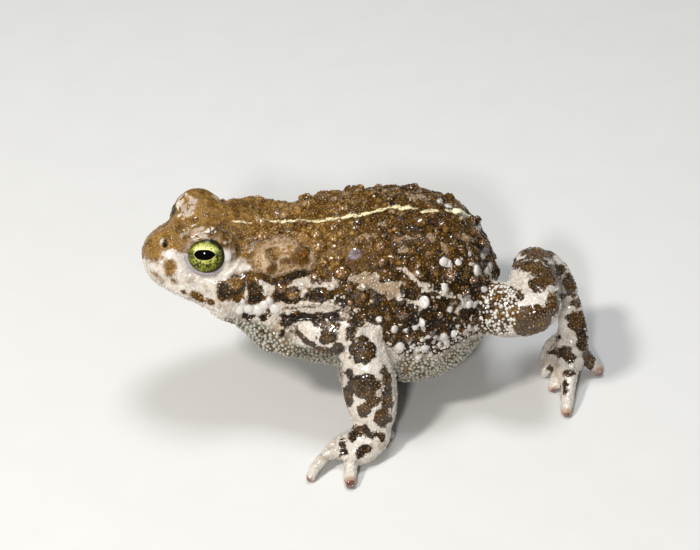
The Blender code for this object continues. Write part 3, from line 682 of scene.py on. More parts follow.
def field_distance(across, down, corners):
    """Pixels from the edge of a field with those corners, below zero inside it."""
    inside = np.zeros(len(across), dtype=bool)
    for (x0, y0), (x1, y1) in zip(corners, corners[1:] + corners[:1]):
        if y0 != y1:
            crossed = (down < max(y0, y1)) & (down >= min(y0, y1))
            inside ^= crossed & (across < x0 + (down - y0) * (x1 - x0) / (y1 - y0))
    edge = line_distance(across, down, 0, *corners, corners[0])
    return np.where(inside, -edge, edge)


def nearest_oval(across, down, marks, melt=1.3):
    """Pixels from the edge of the nearest ovals, with those that touch melted into one outline."""
    total = np.zeros(len(across))
    for mark in listed(marks):
        total += np.exp(-np.clip(oval_distance(across, down, *mark), -20, 40) / melt)
    return -melt * np.log(total)


def nearest_line(across, down, marks):
    """Pixels from the edge of the nearest line."""
    return np.min([line_distance(across, down, *mark) for mark in marks.values()], axis=0)


def fold_height(across, down, folds):
    """Millimetres that the folds stand proud, or below zero the depth of the creases."""
    height = np.zeros(len(across))
    for rise, width, *corners in folds.values():
        height += rise * np.exp(-((line_distance(across, down, 0, *corners) / width) ** 2))
    return height


def patch_shade(inside, rim=0.95, fade=0.50):
    """How dark a dark patch is from its rim inwards: a black rim round a browner middle."""
    return rim * eased(inside, -1.5, 0.8) * (1 - fade * eased(inside, 1.8, 5.0))


def lumps(points, size):
    """Soft noise about 0 at each point, with lumps of that size in millimetres."""
    return np.array([noise.noise(place) for place in (points / size).tolist()])


PIXELS_PER_MM = 4.9
FIELD_LIMIT = 8.0
RAGGED_LUMPS = 1.3

# Where the markings change over the photograph: steps from none to full, in pixels across or down
RAGGED_FROM = (240, 290)
DARKER_AND_SHADED_BELOW = (250, 290)
DUST_ABOVE = (268, 252)
DUST_FROM = (250, 300)
FAINT_DUST_FROM = (250, 285)
SOFT_BEFORE = (262, 236)
SOFT_ABOVE = (296, 280)
SOFT_BELOW = (218, 228)
FLECKS_BELOW = (268, 300)
FLECKS_ON_RUMP = (430, 465)
FLECKS_FROM = (300, 340)
THROAT_FROM = (215, 250)
EYE_SHADE_BELOW = (240, 250)
EYE_SHADE_BEFORE = (224, 212)
SNOW_FROM = (375, 395)
EYE_RING = (27, 24.5)
SHADE_PLACES = (180, 240, 330, 380, 450, 490)
SHADE_THERE = (0.08, 0.24, 0.36, 0.62, 0.68, 0.76)


def ragged(points, across, down, amount):
    """The pixels of the points pushed about unevenly, which makes the outline of a mark uneven."""
    return across + amount * lumps(points, RAGGED_LUMPS), down + amount * lumps(points + 30, RAGGED_LUMPS)


def body_cover(points, across, down, wide, low, belly):
    """Pixels inside the brown of the back, below zero on pale skin, and pixels outside its dark patches."""
    cover = np.clip(belly, -FIELD_LIMIT, FIELD_LIMIT)
    pale = field_distance(wide, low, CHEEK)
    for field in (FLANK_FOLDS, GRAINY_FIELD, THROAT_FIELD):
        pale = np.minimum(pale, field_distance(wide, low, field))
    pale = np.minimum(pale, nearest_oval(wide, low, PALE_PATCHES))
    pale = np.minimum(pale, nearest_line(wide, low, PALE_LINES))
    mottled = np.maximum(nearest_oval(across, down, MOTTLED_PATCHES), -0.9) + 5.5 * lumps(points, 0.8)
    cover = np.minimum(cover, np.minimum(pale, mottled))
    dark = np.minimum(nearest_oval(wide, low, DARK_PATCHES), nearest_line(across, down, DARK_LINES))
    cover = np.maximum(cover, -np.minimum(dark, nearest_oval(across, down, FACE_SPOTS)))
    cover = np.maximum(cover, -np.minimum(nearest_oval(across, down, ARM_DARK), 9))
    return cover, dark


def body_fields(points):
    """The markings of the head and trunk, with some painted shade, where a pixel's ray meets the near side.
    """
    across, down = photo_pixels(points)
    wide, low = ragged(points, across, down, 1.2 + 3.4 * eased(across, *RAGGED_FROM))
    belly = np.interp(across, [x for x, y in BELLY_LINE], [y for x, y in BELLY_LINE]) - down
    cover, dark = body_cover(points, across, down, wide, low, belly)
    warts = nearest_oval(across, down, WHITE_WARTS)
    nostril = np.hypot(across - NOSTRIL[0], down - NOSTRIL[1])
    gland = eased(-field_distance(wide, low, GLAND_FIELD), -3.0, 3.0)
    gland_spots = eased(-nearest_oval(wide, low, GLAND_OVALS), -1.5, 1.5) * gland
    # The brown darkens towards the rear and lower down the side. The darkening lower down is partly painted
    # shade on the side turned from the light.
    shade = np.interp(across, SHADE_PLACES, SHADE_THERE) + 0.24 * eased(down, *DARKER_AND_SHADED_BELOW)
    # Painted shade: the brown is darkest along the armpit and under the jaw.
    crease = eased(-nearest_line(across, down, SHADED_CREASES), -1, 1)
    eardrum = eased(-oval_distance(wide, low, *EARDRUM), -1, 3)
    shade = np.maximum(shade, patch_shade(-dark, 0.95, 0.26)) * (1 - eardrum) + 0.22 * eardrum
    shade = np.clip(np.maximum(shade, crease * 1.35), 0, 1.35)
    dust = eased(down, *DUST_ABOVE) * eased(across, *DUST_FROM)
    dust = np.maximum(dust, 0.30 * eased(across, *FAINT_DUST_FROM))
    dust = np.maximum(dust, 0.9 * eased(-field_distance(across, down, GRAINY_FIELD), -2, 1))
    dust = np.maximum(dust, 0.55 * eased(-nearest_oval(across, down, DUSTY_OVALS), -3, 1))
    soft = eased(across, *SOFT_BEFORE) * eased(down, *SOFT_ABOVE) * eased(down, *SOFT_BELOW)
    fleck = np.maximum(eased(down, *FLECKS_BELOW), eased(across, *FLECKS_ON_RUMP))
    green = eased(belly, 4, -10) * np.maximum(eased(across, *THROAT_FROM), eased(-belly, 12, 24))
    green = np.maximum(green, eased(-field_distance(wide, low, THROAT_BEADS), -2.5, 2.0))
    # Painted shade under the eye: a lilac-grey ring on the skin below the lower lid.
    ring = np.hypot((across - EYE_MIDDLE[0]) / EYE_RING[0], (down - EYE_MIDDLE[1]) / EYE_RING[1])
    lilac = 0.80 * eased(ring, 1.12, 0.90) * eased(down, *EYE_SHADE_BELOW) * eased(across, *EYE_SHADE_BEFORE)
    eye_corner = 0.8 * eased(-oval_distance(across, down, *EYE_CORNER), -1, 1.5)
    mound = eased(-nearest_oval(across, down, BROWN_WARTS) / PIXELS_PER_MM, -0.35, 0.95)
    rise = fold_height(across, down, FOLDS) - 0.85 * np.exp(-((nostril / 2.3) ** 2))
    rise += 0.30 * np.exp(-(((nostril - 4.6) / 1.6) ** 2))
    return {
        "cover": np.clip(np.minimum(cover, warts), -FIELD_LIMIT, FIELD_LIMIT),
        "shade": shade * (1 - 0.5 * gland_spots) + 0.34 * gland_spots,
        "dust": dust,
        "soft": soft * eased(nostril, 4, 10),
        "fleck": fleck * eased(across, *FLECKS_FROM),
        "tan": (gland - gland_spots) * eased(dark, -0.8, 1.2),
        "stripe": np.clip(-nearest_line(across, down, STRIPE_LINES), -FIELD_LIMIT, FIELD_LIMIT),
        "rust": tip_field(across, down, RUST_TIPS),
        "green": green,
        "pearl": np.maximum(eased(-warts, -1, 1), eye_corner),
        "lilac": np.maximum(lilac, eased(-nearest_oval(across, down, LILAC_SPOTS), -1, 1)),
        "snow": np.maximum(green, 0.8 * eased(12 - abs(belly), 0, 6) * eased(across, *SNOW_FROM)),
        "mound": mound,
        "gland": gland,
        "limb": np.zeros(len(points)),
        "grey": np.zeros(len(points)),
        "rise": rise + 0.55 * mound + 0.25 * gland_spots,
    }


def tip_field(across, down, tips):
    """1 in the middle of the nearest tip and 0 at its rim."""
    nearest = np.max([1 - np.hypot(across - x, down - y) / reach for x, y, reach in listed(tips)], axis=0)
    return np.clip(nearest, 0, 1)


LIMB_DARK_GROWTH = 0.9
LIMB_RAGGED = 4.2
THIGH_SNOW = (498, 309, 23, 31)


def limb_fields(points, dark_marks, tint, rim, fade, grey):
    """The markings of a limb: cream skin with dark bands, and white beads over the root of the thigh."""
    across, down = photo_pixels(points)
    dark = nearest_oval(*ragged(points, across, down, LIMB_RAGGED), dark_marks) - LIMB_DARK_GROWTH
    # Painted shadow on the arm along the armpit and the fold of the arm
    dark = np.minimum(dark, nearest_line(across, down, ARM_SHADOWS))
    x, y, half_width, half_height = THIGH_SNOW
    snow = eased(np.hypot((across - x) / half_width, (down - y) / half_height), 1.0, 0.75)
    none = np.zeros(len(points))
    fields = dict.fromkeys(("tan", "rust", "green", "pearl", "lilac", "dust", "soft", "mound", "gland"), none)
    fields.update({
        "cover": np.clip(np.maximum(-dark, snow * 12 - 7), -FIELD_LIMIT, FIELD_LIMIT),
        "shade": np.maximum(patch_shade(-dark, rim, fade), tint + 0.28 * snow),
        "limb": none + 1,
        "grey": none + grey,
        "stripe": none - FIELD_LIMIT,
        "fleck": none + 0.3,
        "snow": snow,
        "rise": fold_height(across, down, LIMB_FOLDS),
    })
    return fields


def seeded_blotches(points, amount, radius, seed):
    """Pixels inside the nearest of some blotches strewn over the points, smaller near the floor."""
    random = np.random.default_rng(seed)
    inside = np.full(len(points), -FIELD_LIMIT)
    uneven = 0.8 * lumps(points, RAGGED_LUMPS)
    for centre in points[random.integers(0, len(points), amount)]:
        reach = radius * random.uniform(0.6, 1.3) * (0.2 + 0.8 * eased(centre[2], 2, 10))
        gap = (points - centre) * random.uniform(0.8, 1.25, 3)
        inside = np.maximum(inside, (reach + uneven - np.linalg.norm(gap, axis=1)) * PIXELS_PER_MM)
    return inside


MIRROR = np.array([1, -1, 1])
MOUND_AMOUNT = 160
MOUND_GAP = 2.8
MOUND_REACH = (1.0, 2.1)
MOUNDS_START = -22
MOUNDS_ABOVE = 12
STRIPE_REACH = 5
BLOTCH_AMOUNT = 56
BLOTCH_RADIUS = 2.7


def strewn_mounds(points, normals, shares, seed):
    """Middles and reaches of the larger mounds of the back, strewn over the upper side of the trunk."""
    random = np.random.default_rng(seed)
    allowed = (shares[:, 0] > 0.9) & (points[:, 0] > MOUNDS_START)
    allowed = allowed & (normals[:, 2] > -0.25) & (points[:, 2] > MOUNDS_ABOVE)
    middles = np.zeros((0, 3))
    for place in points[random.choice(np.flatnonzero(allowed), MOUND_AMOUNT * 8)]:
        if len(middles) < MOUND_AMOUNT and (np.linalg.norm(middles - place, axis=1) > MOUND_GAP).all():
            middles = np.vstack((middles, place))
    return middles, random.uniform(*MOUND_REACH, len(middles))


mound_middles, mound_reaches = strewn_mounds(skin_points, read_normals(skin_mesh), skin_shares, seed=8)


def mound_share(points):
    """1 on top of the nearest mound and 0 outside them all."""
    share = np.zeros(len(points))
    for middle, reach in zip(mound_middles, mound_reaches):
        near = np.abs(points[:, 0] - middle[0]) < reach
        offset = np.linalg.norm(points[near] - middle, axis=1)
        share[near] = np.maximum(share[near], eased(1 - offset / reach, 0, 0.9))
    return share


def markings(points, normals, shares):
    """Every marking field at the points, from the photograph where it shows them and mirrored where not."""
    near = body_fields(points)
    far = body_fields(points * MIRROR + (0, 2 * MIDLINE, 0))
    facing = normals @ np.array(to_camera)
    hidden = eased(-facing, -0.18, 0.10) * eased(points[:, 1], MIDLINE, MIDLINE + 4)
    fields = {name: near[name] * (1 - hidden) + far[name] * hidden for name in near}
    mounds = mound_share(points) * (1 - fields["gland"]) * eased(fields["cover"], -2, 3)
    fields["mound"] = np.maximum(fields["mound"], mounds)
    fields["rise"] = fields["rise"] + 0.60 * mounds
    # Skin of the trunk that faces down takes the pale throat colours, with their painted shade.
    throat = 0.30 * eased(points[:, 0], -12, -18)
    beneath = eased(-normals[:, 2], 0.35 + throat, 0.75 + throat * 0.5) * shares[:, 0]
    fields["cover"] = fields["cover"] * (1 - beneath) - FIELD_LIMIT * 0.8 * beneath
    fields["green"] = np.maximum(fields["green"], beneath)
    fields["stripe"] = np.where(abs(points[:, 1] - MIDLINE) < STRIPE_REACH, fields["stripe"], -FIELD_LIMIT)
    arm = limb_fields(points, ARM_DARK, tint=0.45, rim=0.95, fade=0.25, grey=0.50)
    leg = limb_fields(points, LEG_DARK, tint=0.42, rim=0.80, fade=0.20, grey=0.55)
    right = {name: arm[name].copy() for name in arm}
    across, down = photo_pixels(points)
    arm["green"] = eased(-field_distance(across, down, THROAT_BEADS), -2.5, 2.0)
    far_limb = shares[:, 3] + shares[:, 4] > 0.3
    if far_limb.any():
        blotches = seeded_blotches(points[far_limb], BLOTCH_AMOUNT, BLOTCH_RADIUS, seed=4)
        right["cover"][far_limb] = blotches
        right["shade"][far_limb] = np.maximum(patch_shade(blotches), 0.35)
    right["rise"][:] = 0
    right["snow"][:] = 0
    for name in fields:
        left_limbs = arm[name] * shares[:, 1] + leg[name] * shares[:, 2]
        right_limbs = right[name] * (shares[:, 3] + shares[:, 4])
        fields[name] = fields[name] * shares[:, 0] + (left_limbs + right_limbs)
    fields["tip"] = tip_field(across, down, TOE_TIPS) * (shares[:, 1] + shares[:, 2])
    fields["luck"] = np.full(len(points), 0.5)
    fields["wart"] = np.zeros(len(points))
    return fields


def store(mesh, fields):
    """Keeps each field on the mesh's corners, where the material reads it."""
    for name, values in fields.items():
        layer = mesh.attributes.get(name) or mesh.attributes.new(name, "FLOAT", "POINT")
        layer.data.foreach_set("value", np.ascontiguousarray(values, dtype=np.float32))


skin_fields = markings(skin_points, read_normals(skin_mesh), skin_shares)
on_face = eased(-skin_points[:, 0], 23, 28) * skin_shares[:, 0]
on_trunk = skin_shares[:, 0] - on_face
skin_relief = (0.24 * on_trunk + 0.12) * lumps(skin_points, 1.7)
skin_relief = skin_relief + (0.10 + 0.06 * on_face) * lumps(skin_points + 50, 0.8)
skin_relief = skin_relief * (1 - 0.6 * skin_fields["gland"])
skin_points = skin_points + read_normals(skin_mesh) * (skin_fields["rise"] + skin_relief)[:, None]
skin_points[:, 2] = np.maximum(skin_points[:, 2], 0)
write_points(skin_mesh, skin_points)
store(skin_mesh, skin_fields)

# Colours of wet skin: brown over cream, darkest in the patches of the flank, with a yellow line down the back
LIGHT_BROWN = (0.300, 0.168, 0.042, 1)
BROWN = (0.088, 0.040, 0.004, 1)
BLACK_BROWN = (0.014, 0.008, 0.003, 1)
GLAND_TAN = (0.375, 0.272, 0.172, 1)
BEAD_TAN_AND_TOP_LIGHT = (0.270, 0.152, 0.034, 1)
CREAM = (0.570, 0.530, 0.470, 1)
DULL_CREAM = (0.270, 0.175, 0.088, 1)
BACK_TAN = (0.225, 0.145, 0.068, 1)
WHITE = (0.480, 0.455, 0.420, 1)
THROAT_GROUND_IN_SHADE = (0.052, 0.044, 0.024, 1)
GREEN_WHITE_IN_SHADE = (0.345, 0.348, 0.285, 1)
STRIPE_YELLOW = (0.820, 0.740, 0.450, 1)
# The colour of the lilac spots and lids, also used as painted shade under the eye
LILAC_AND_EYE_SHADE = (0.225, 0.195, 0.208, 1)
RUST = (0.390, 0.140, 0.030, 1)
TOE_TAN = (0.330, 0.180, 0.100, 1)
TOE_TIP = (0.090, 0.018, 0.007, 1)
LIMB_GREY = (0.122, 0.086, 0.050, 1)
# Multiplied over the skin between the grains as painted shade in their hollows
PIT_SHADE = (0.360, 0.300, 0.260, 1)


def skin_material(name):
    """Wet, warty skin, whose colours follow the fields on its mesh."""
    finish = Finish(name)
    field, step, mix = finish.attribute, finish.step, finish.mix
    grain = finish.noise(0.28, 2, 0.6)
    fine = finish.noise(0.60, 3, 0.6)
    middle = finish.noise(1.7, 3, 0.6)
    broad = finish.noise(5.5, 3, 0.55)
    bead = field("bead")
    luck = field("luck")
    wart = field("wart")
    snow = field("snow")
    pearl = field("pearl")

    shade = field("shade") + fine * 0.50 + middle * 0.75 + broad * 0.45 + (luck - 0.5) * 0.30
    mound = field("mound")
    # Painted shade and painted light on the bumps: warts darken at their feet and lighten on top, and mounds
    # lighten on top with a dark ring round the foot.
    shade = shade + wart * (0.60 - bead) * 0.45 - mound * 0.25 + step(abs(mound - 0.22), 0.2, 0.05) * 0.22
    brown = mix(step(shade, -0.05, 0.50), LIGHT_BROWN, BROWN)
    brown = mix(step(shade, 0.50, 1.05), brown, BLACK_BROWN)
    gland = field("tan") * step(fine * 1.2 + middle * 1.6 + broad * 0.5, -0.62, 0.12)
    brown = mix(gland, brown, GLAND_TAN)
    # Grain tops turn tan: partly their own tan tips, partly painted light on the tops of the grains.
    brown = mix(bead * (1.10 - step(shade, 0.3, 1.1)) * 0.35, brown, BEAD_TAN_AND_TOP_LIGHT)
    brown = mix(bead * step(luck + field("soft") * 0.04, 0.96, 0.97), brown, DULL_CREAM)
    brown = mix(bead * step(luck, 0.35, 0.55) * field("grey"), brown, LIMB_GREY)

    # Throat and belly: a near-black ground between dim greenish-white grains, the throat's own tone darkened
    # as painted shade under the body.
    pale = mix(field("green"), CREAM, THROAT_GROUND_IN_SHADE)
    pale = mix(field("dust"), pale, BACK_TAN)
    pale = mix(step(middle + fine * 0.6 + broad * 0.5, -0.05, 0.50) * 0.65, pale, DULL_CREAM)
    pale = mix(step(broad - fine, 0.10, 0.60) * 0.30, pale, LILAC_AND_EYE_SHADE)
    white_bead = mix(field("green") * 0.75, WHITE, GREEN_WHITE_IN_SHADE)
    pale = mix(bead * (snow * 0.6 + 0.35), pale, white_bead)
    pale = mix(pearl, pale, WHITE)

    cover = field("cover") + fine * 1.9 + middle * 2.2 + (luck - 0.5) * 1.6
    fleck = step(finish.noise(1.25, 2, 0.5), 0.22, 0.36) * field("fleck")
    snowy = snow * step(bead, 0.05, 0.30) * step(luck + middle * 0.4, 0.30, 0.34)
    cover = cover - fleck * 7 - snowy * 14 + field("dust") * 0.7
    edge = field("soft") * 1.5 + 0.8
    ground = mix(step(cover / edge, -1.0, 1.0), pale, brown)
    ground = mix(step(field("stripe") + fine * 1.4, -0.5, 0.4), ground, STRIPE_YELLOW)
    ground = mix(field("lilac") * step(fine, -1.1, 0.1), ground, LILAC_AND_EYE_SHADE)
    rust = step(field("rust").most(mound * 0.60) + fine * 1.1, 0.35, 1.1) * 0.6
    rust = rust.most(wart * step(bead + fine * 0.4, 0.75, 1.0) * step(luck, 0.66, 0.70) * 0.6)
    ground = mix(rust, ground, RUST)
    pore = wart * step(grain + fine * 0.5, 0.12, 0.28) * step(bead, 0.2, 0.5)
    ground = mix(pore * 0.85, ground, BLACK_BROWN)
    tip = field("tip") + fine * 0.10
    ground = mix(step(tip, 0.10, 0.55) * 0.9, ground, TOE_TAN)
    ground = mix(step(tip, 0.52, 0.66), ground, TOE_TIP)
    # Painted shade: the skin between the grains is darkened, as if shade lay in the hollows round them.
    cavity_shade = (1 - bead) * (1 - pearl) * (1 - gland * 0.7) * (step(cover / edge, -1.0, 1.0) * 0.55 + 0.35)
    ground = mix(cavity_shade * step(fine + grain, 0.45, -0.35), ground, PIT_SHADE, "MULTIPLY")

    relief = fine * 0.40 + grain * 0.25 + middle * 0.9
    wet = step(bead, 0.55, 0.85) * step(luck, 0.66, 0.70)
    wet = wet.most(step(mound * 0.7 + fine, 0.35, 0.65)).most(pearl * 0.4)
    wet = wet.most(field("limb") * 0.22).most(field("soft") * 0.22).most(step(tip, 0.5, 0.6))
    bump = {"Height": relief * (1 - pearl * 0.85) * 0.12 * MM, "Strength": 1.0, "Distance": 1.0}
    finish.set(
        Base_Color=ground,
        Roughness=step(middle + fine, -0.5, 0.5) * 0.12 + 0.11,
        Specular_IOR_Level=0.13,
        Coat_Weight=wet,
        Coat_Roughness=0.06,
        Coat_IOR=2.3,
        Normal=finish.node("ShaderNodeBump", {}, bump, "Normal"),
    )
    return finish.material


skin = placed("skin", skin_mesh)
skin_mesh.materials.append(skin_material("moist_skin"))
skin_mesh.shade_smooth()
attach(skin, "root")
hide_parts(*FLESH_NODES)

# Eyes
# Each eye is a wet ball: a gold-green iris veined with black round a long level pupil, dark at its rim.
# It is a sphere with a slight bulge over the pupil, and its colours are worked out from where they lie on it.
EYE_RADIUS = 4.1
EYE_LOOK = np.array([-0.24, -1.0, 0.26])
PUPIL_MIDDLE = (0.17, 0.86)
PUPIL_HALF = (1.98, 0.95)
IRIS_HALF = (3.62, 3.28)
IRIS_MIDDLE = (0.54, 0.16)
GOLD = (0.400, 0.405, 0.055, 1)
PALE_GOLD_AND_SHEEN = (0.640, 0.650, 0.260, 1)
OLIVE = (0.170, 0.175, 0.015, 1)
IRIS_BLACK = (0.012, 0.016, 0.006, 1)
PUPIL_BLACK = (0.001, 0.001, 0.001, 1)


def eye_frame(side):
    """The eye's middle in millimetres and its forward, level and upward directions. The left side is -1."""
    low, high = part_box("eye_left" if side < 0 else "eye_right")
    middle = np.array((low + high) / 2) / MM
    mirror = np.array([1, -side, 1])
    forward = EYE_LOOK * mirror / np.linalg.norm(EYE_LOOK)
    level = np.array(to_right) * mirror
    level = level - forward * (level @ forward)
    level = level / np.linalg.norm(level)
    upward = np.cross(level, forward) * side
    return middle, forward, level, upward


def eye_material():
    """The iris and pupil, drawn on the fields eye_across and eye_up under a clear wet coat."""
    finish = Finish("wet_eye")
    step, mix = finish.step, finish.mix
    across = finish.attribute("eye_across")
    up = finish.attribute("eye_up")
    place = finish.node("ShaderNodeCombineXYZ", {}, {"X": across * MM, "Y": up * MM})
    veins = finish.noise(1.2, 3, 0.65, place)
    specks = finish.noise(0.42, 2, 0.6, place)
    level = (across - PUPIL_MIDDLE[0]) / PUPIL_HALF[0]
    rise = (up - PUPIL_MIDDLE[1]) / PUPIL_HALF[1]
    pupil = abs(rise) ** 1.3 + abs(level) ** (2.9 - level * 1.0)
    rim_across = ((across - IRIS_MIDDLE[0]) / IRIS_HALF[0]) ** 2
    rim_up = ((up - IRIS_MIDDLE[1]) / IRIS_HALF[1]) ** 2
    rim = (rim_across + rim_up) ** 0.5
    spoke = finish.sum_of("ARCTAN2", up - IRIS_MIDDLE[1], across - IRIS_MIDDLE[0])
    ray_place = finish.node("ShaderNodeCombineXYZ", {}, {"X": spoke * 2.1 * MM, "Y": rim * 0.8 * MM})
    rays = finish.noise(0.22, 2, 0.6, ray_place)
    # The iris is paler above the pupil, with fewer black marks: partly its own colour, partly a painted
    # reflection of the sky on its upper part.
    upper = step(up, 0.7, 1.7)
    near_pupil = step(pupil + specks * 0.5, 2.9, 1.1)
    gold = mix(step(specks + veins + rays * 0.6, -0.45, 0.45), OLIVE, GOLD)
    gold = mix(near_pupil * (upper * 0.65 + 0.30), gold, PALE_GOLD_AND_SHEEN)
    black = step(abs(veins) + upper * 0.05, 0.10, 0.05)
    black = black.most(step(specks - upper * 0.06, 0.14, 0.20) * 0.9)
    black = black.most(step(rays - upper * 0.12, 0.06, 0.22) * 0.8)
    side_band = step(abs(rise + 0.25), 0.75, 0.25) * step(abs(level), 0.85, 1.1) * step(specks, -0.5, 0.1)
    black = (black * step(pupil, 1.05, 1.4)).most(side_band * 0.9)
    black = black.most(step(rim + veins * 0.20 + level * 0.07, 0.78, 0.92))
    iris = mix(black, gold, IRIS_BLACK)
    iris = mix(step(pupil, 1.05, 0.95), iris, PUPIL_BLACK)
    bump = {"Height": (veins + specks) * 0.012 * MM, "Distance": 1.0}
    finish.set(
        Base_Color=iris,
        Roughness=0.45,
        Specular_IOR_Level=0.0,
        Coat_Weight=0.42,
        Coat_Roughness=0.02,
        Coat_IOR=1.33,
        Normal=finish.node("ShaderNodeBump", {}, bump, "Normal"),
    )
    return finish.material


EYE_RINGS = 64
EYE_SLICES = 96
CORNEA_BULGE = 0.03
eyes = {side: eye_frame(side) for side in (-1, 1)}
wet_eye = eye_material()
for side, name in ((-1, "eye_left"), (1, "eye_right")):
    middle, forward, level, upward = eyes[side]
    ball = bmesh.new()
    bmesh.ops.create_uvsphere(ball, u_segments=EYE_SLICES, v_segments=EYE_RINGS, radius=1)
    ball_mesh = meshed(ball, name + "_ball")
    round_points = read_points(ball_mesh) * MM
    turned = round_points[:, :1] * level + round_points[:, 1:2] * upward + round_points[:, 2:] * forward
    bulge = 1 + CORNEA_BULGE * eased(round_points[:, 2], 0.45, 0.95)
    write_points(ball_mesh, middle + turned * (EYE_RADIUS * bulge)[:, None])
    if np.dot(np.cross(level, upward), forward) < 0:
        ball_mesh.flip_normals()
    eye_places = round_points * EYE_RADIUS
    store(ball_mesh, {"eye_across": eye_places[:, 0], "eye_up": eye_places[:, 1]})
    ball_mesh.shade_smooth()
    ball_mesh.materials.append(wet_eye)
    eyeball = placed(name + "_ball", ball_mesh)
    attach(eyeball, "root")
    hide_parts(name)

# Lids
# A rolled rim of smooth skin closes on each eye: thin and pearly below, thick and fleshy above. Each is one
# closed ring of slices that start under the edge of the ball, rise over a crown and end down in the skin.
LID_MIDDLE = (0.54, 0.16)
LID_HALF = (3.60, 3.20)
LID_SLICES = 144
LID_WIDTH_BELOW = 1.05
LID_WIDTH_ABOVE = 1.75
LID_CROWN_BELOW = 0.34
LID_CROWN_ABOVE = 0.62
LID_ROWS = (0.0, 0.10, 0.25, 0.42, 0.60, 0.80, 1.0)
LID_TUCK = 0.12
LID_REACH = 0.4
LID_UNDERCUT = 0.03
LID_EDGE_DEPTH = 0.35
LID_FOOT_DEPTH = 0.8
LID_EDGE_LIFT = 0.10
CROWN_LEAN = 0.62

# The skin is drawn in behind the ball up to the first angle from its forward direction, not past the second
PRESS_FULL = math.radians(58)
PRESS_NONE = math.radians(71)
PRESS_RADIUS = EYE_RADIUS - 0.5
PRESS_REACH = EYE_RADIUS + 3


def pressed(points):
    """The skin's points with those that would show inside a ring of lids drawn in behind the ball."""
    for middle, forward, *_ in eyes.values():
        offset = points - middle
        radius = np.linalg.norm(offset, axis=1)
        angle = np.arccos(np.clip(offset @ forward / radius, -1, 1))
        share = eased(angle, PRESS_NONE, PRESS_FULL) * (radius < PRESS_REACH)
        drawn = radius * (1 - share) + np.minimum(radius, PRESS_RADIUS) * share
        points = middle + offset * (drawn / radius)[:, None]
    return points


skin_points = pressed(skin_points)
write_points(skin_mesh, skin_points)
skin_tree = search_tree(skin_mesh, skin_points)


def lid_ring(side):
    """The closed ring of one eye's lids, from under the ball's edge over its crown and down into the skin."""
    middle, forward, level, upward = eyes[side]
    corners = []
    for slice_number in range(LID_SLICES):
        turn = 2 * math.pi * slice_number / LID_SLICES
        above = eased(math.sin(turn), -0.25, 0.55)
        width = LID_WIDTH_BELOW + (LID_WIDTH_ABOVE - LID_WIDTH_BELOW) * above
        crown = LID_CROWN_BELOW + (LID_CROWN_ABOVE - LID_CROWN_BELOW) * above
        edge = (LID_MIDDLE[0] + LID_HALF[0] * math.cos(turn), LID_MIDDLE[1] + LID_HALF[1] * math.sin(turn))
        run = math.atan2(edge[1], edge[0])
        edge_angle = math.asin(min(0.98, math.hypot(*edge) / EYE_RADIUS))
        spoke = level * math.cos(run) + upward * math.sin(run)

        def at(angle, radius):
            return middle + (forward * math.cos(angle) + spoke * math.sin(angle)) * radius

        outer = at(edge_angle + width / EYE_RADIUS, EYE_RADIUS + LID_REACH)
        found, normal = skin_tree.find_nearest(outer.tolist())[:2]
        outer = np.array(found) - np.array(normal) * LID_TUCK
        outer_offset = outer - middle
        outer_radius = np.linalg.norm(outer_offset)
        outer_angle = math.acos(outer_offset @ forward / outer_radius)
        outer_spoke = outer_offset - forward * (outer_offset @ forward)
        outer_spoke = outer_spoke / np.linalg.norm(outer_spoke)
        row = [at(edge_angle + LID_UNDERCUT, EYE_RADIUS - LID_EDGE_DEPTH)]
        for share in LID_ROWS:
            angle = edge_angle + (outer_angle - edge_angle) * share
            swing = spoke * (1 - share) + outer_spoke * share
            swing = swing / np.linalg.norm(swing)
            lift = crown * math.sin(math.pi * min(1, share ** CROWN_LEAN)) + LID_EDGE_LIFT * (1 - share)
            radius = EYE_RADIUS * (1 - share) + outer_radius * share + lift
            row.append(middle + (forward * math.cos(angle) + swing * math.sin(angle)) * radius)
        row.append(at(outer_angle, EYE_RADIUS - LID_FOOT_DEPTH))
        corners.append(row)
    return np.array(corners)


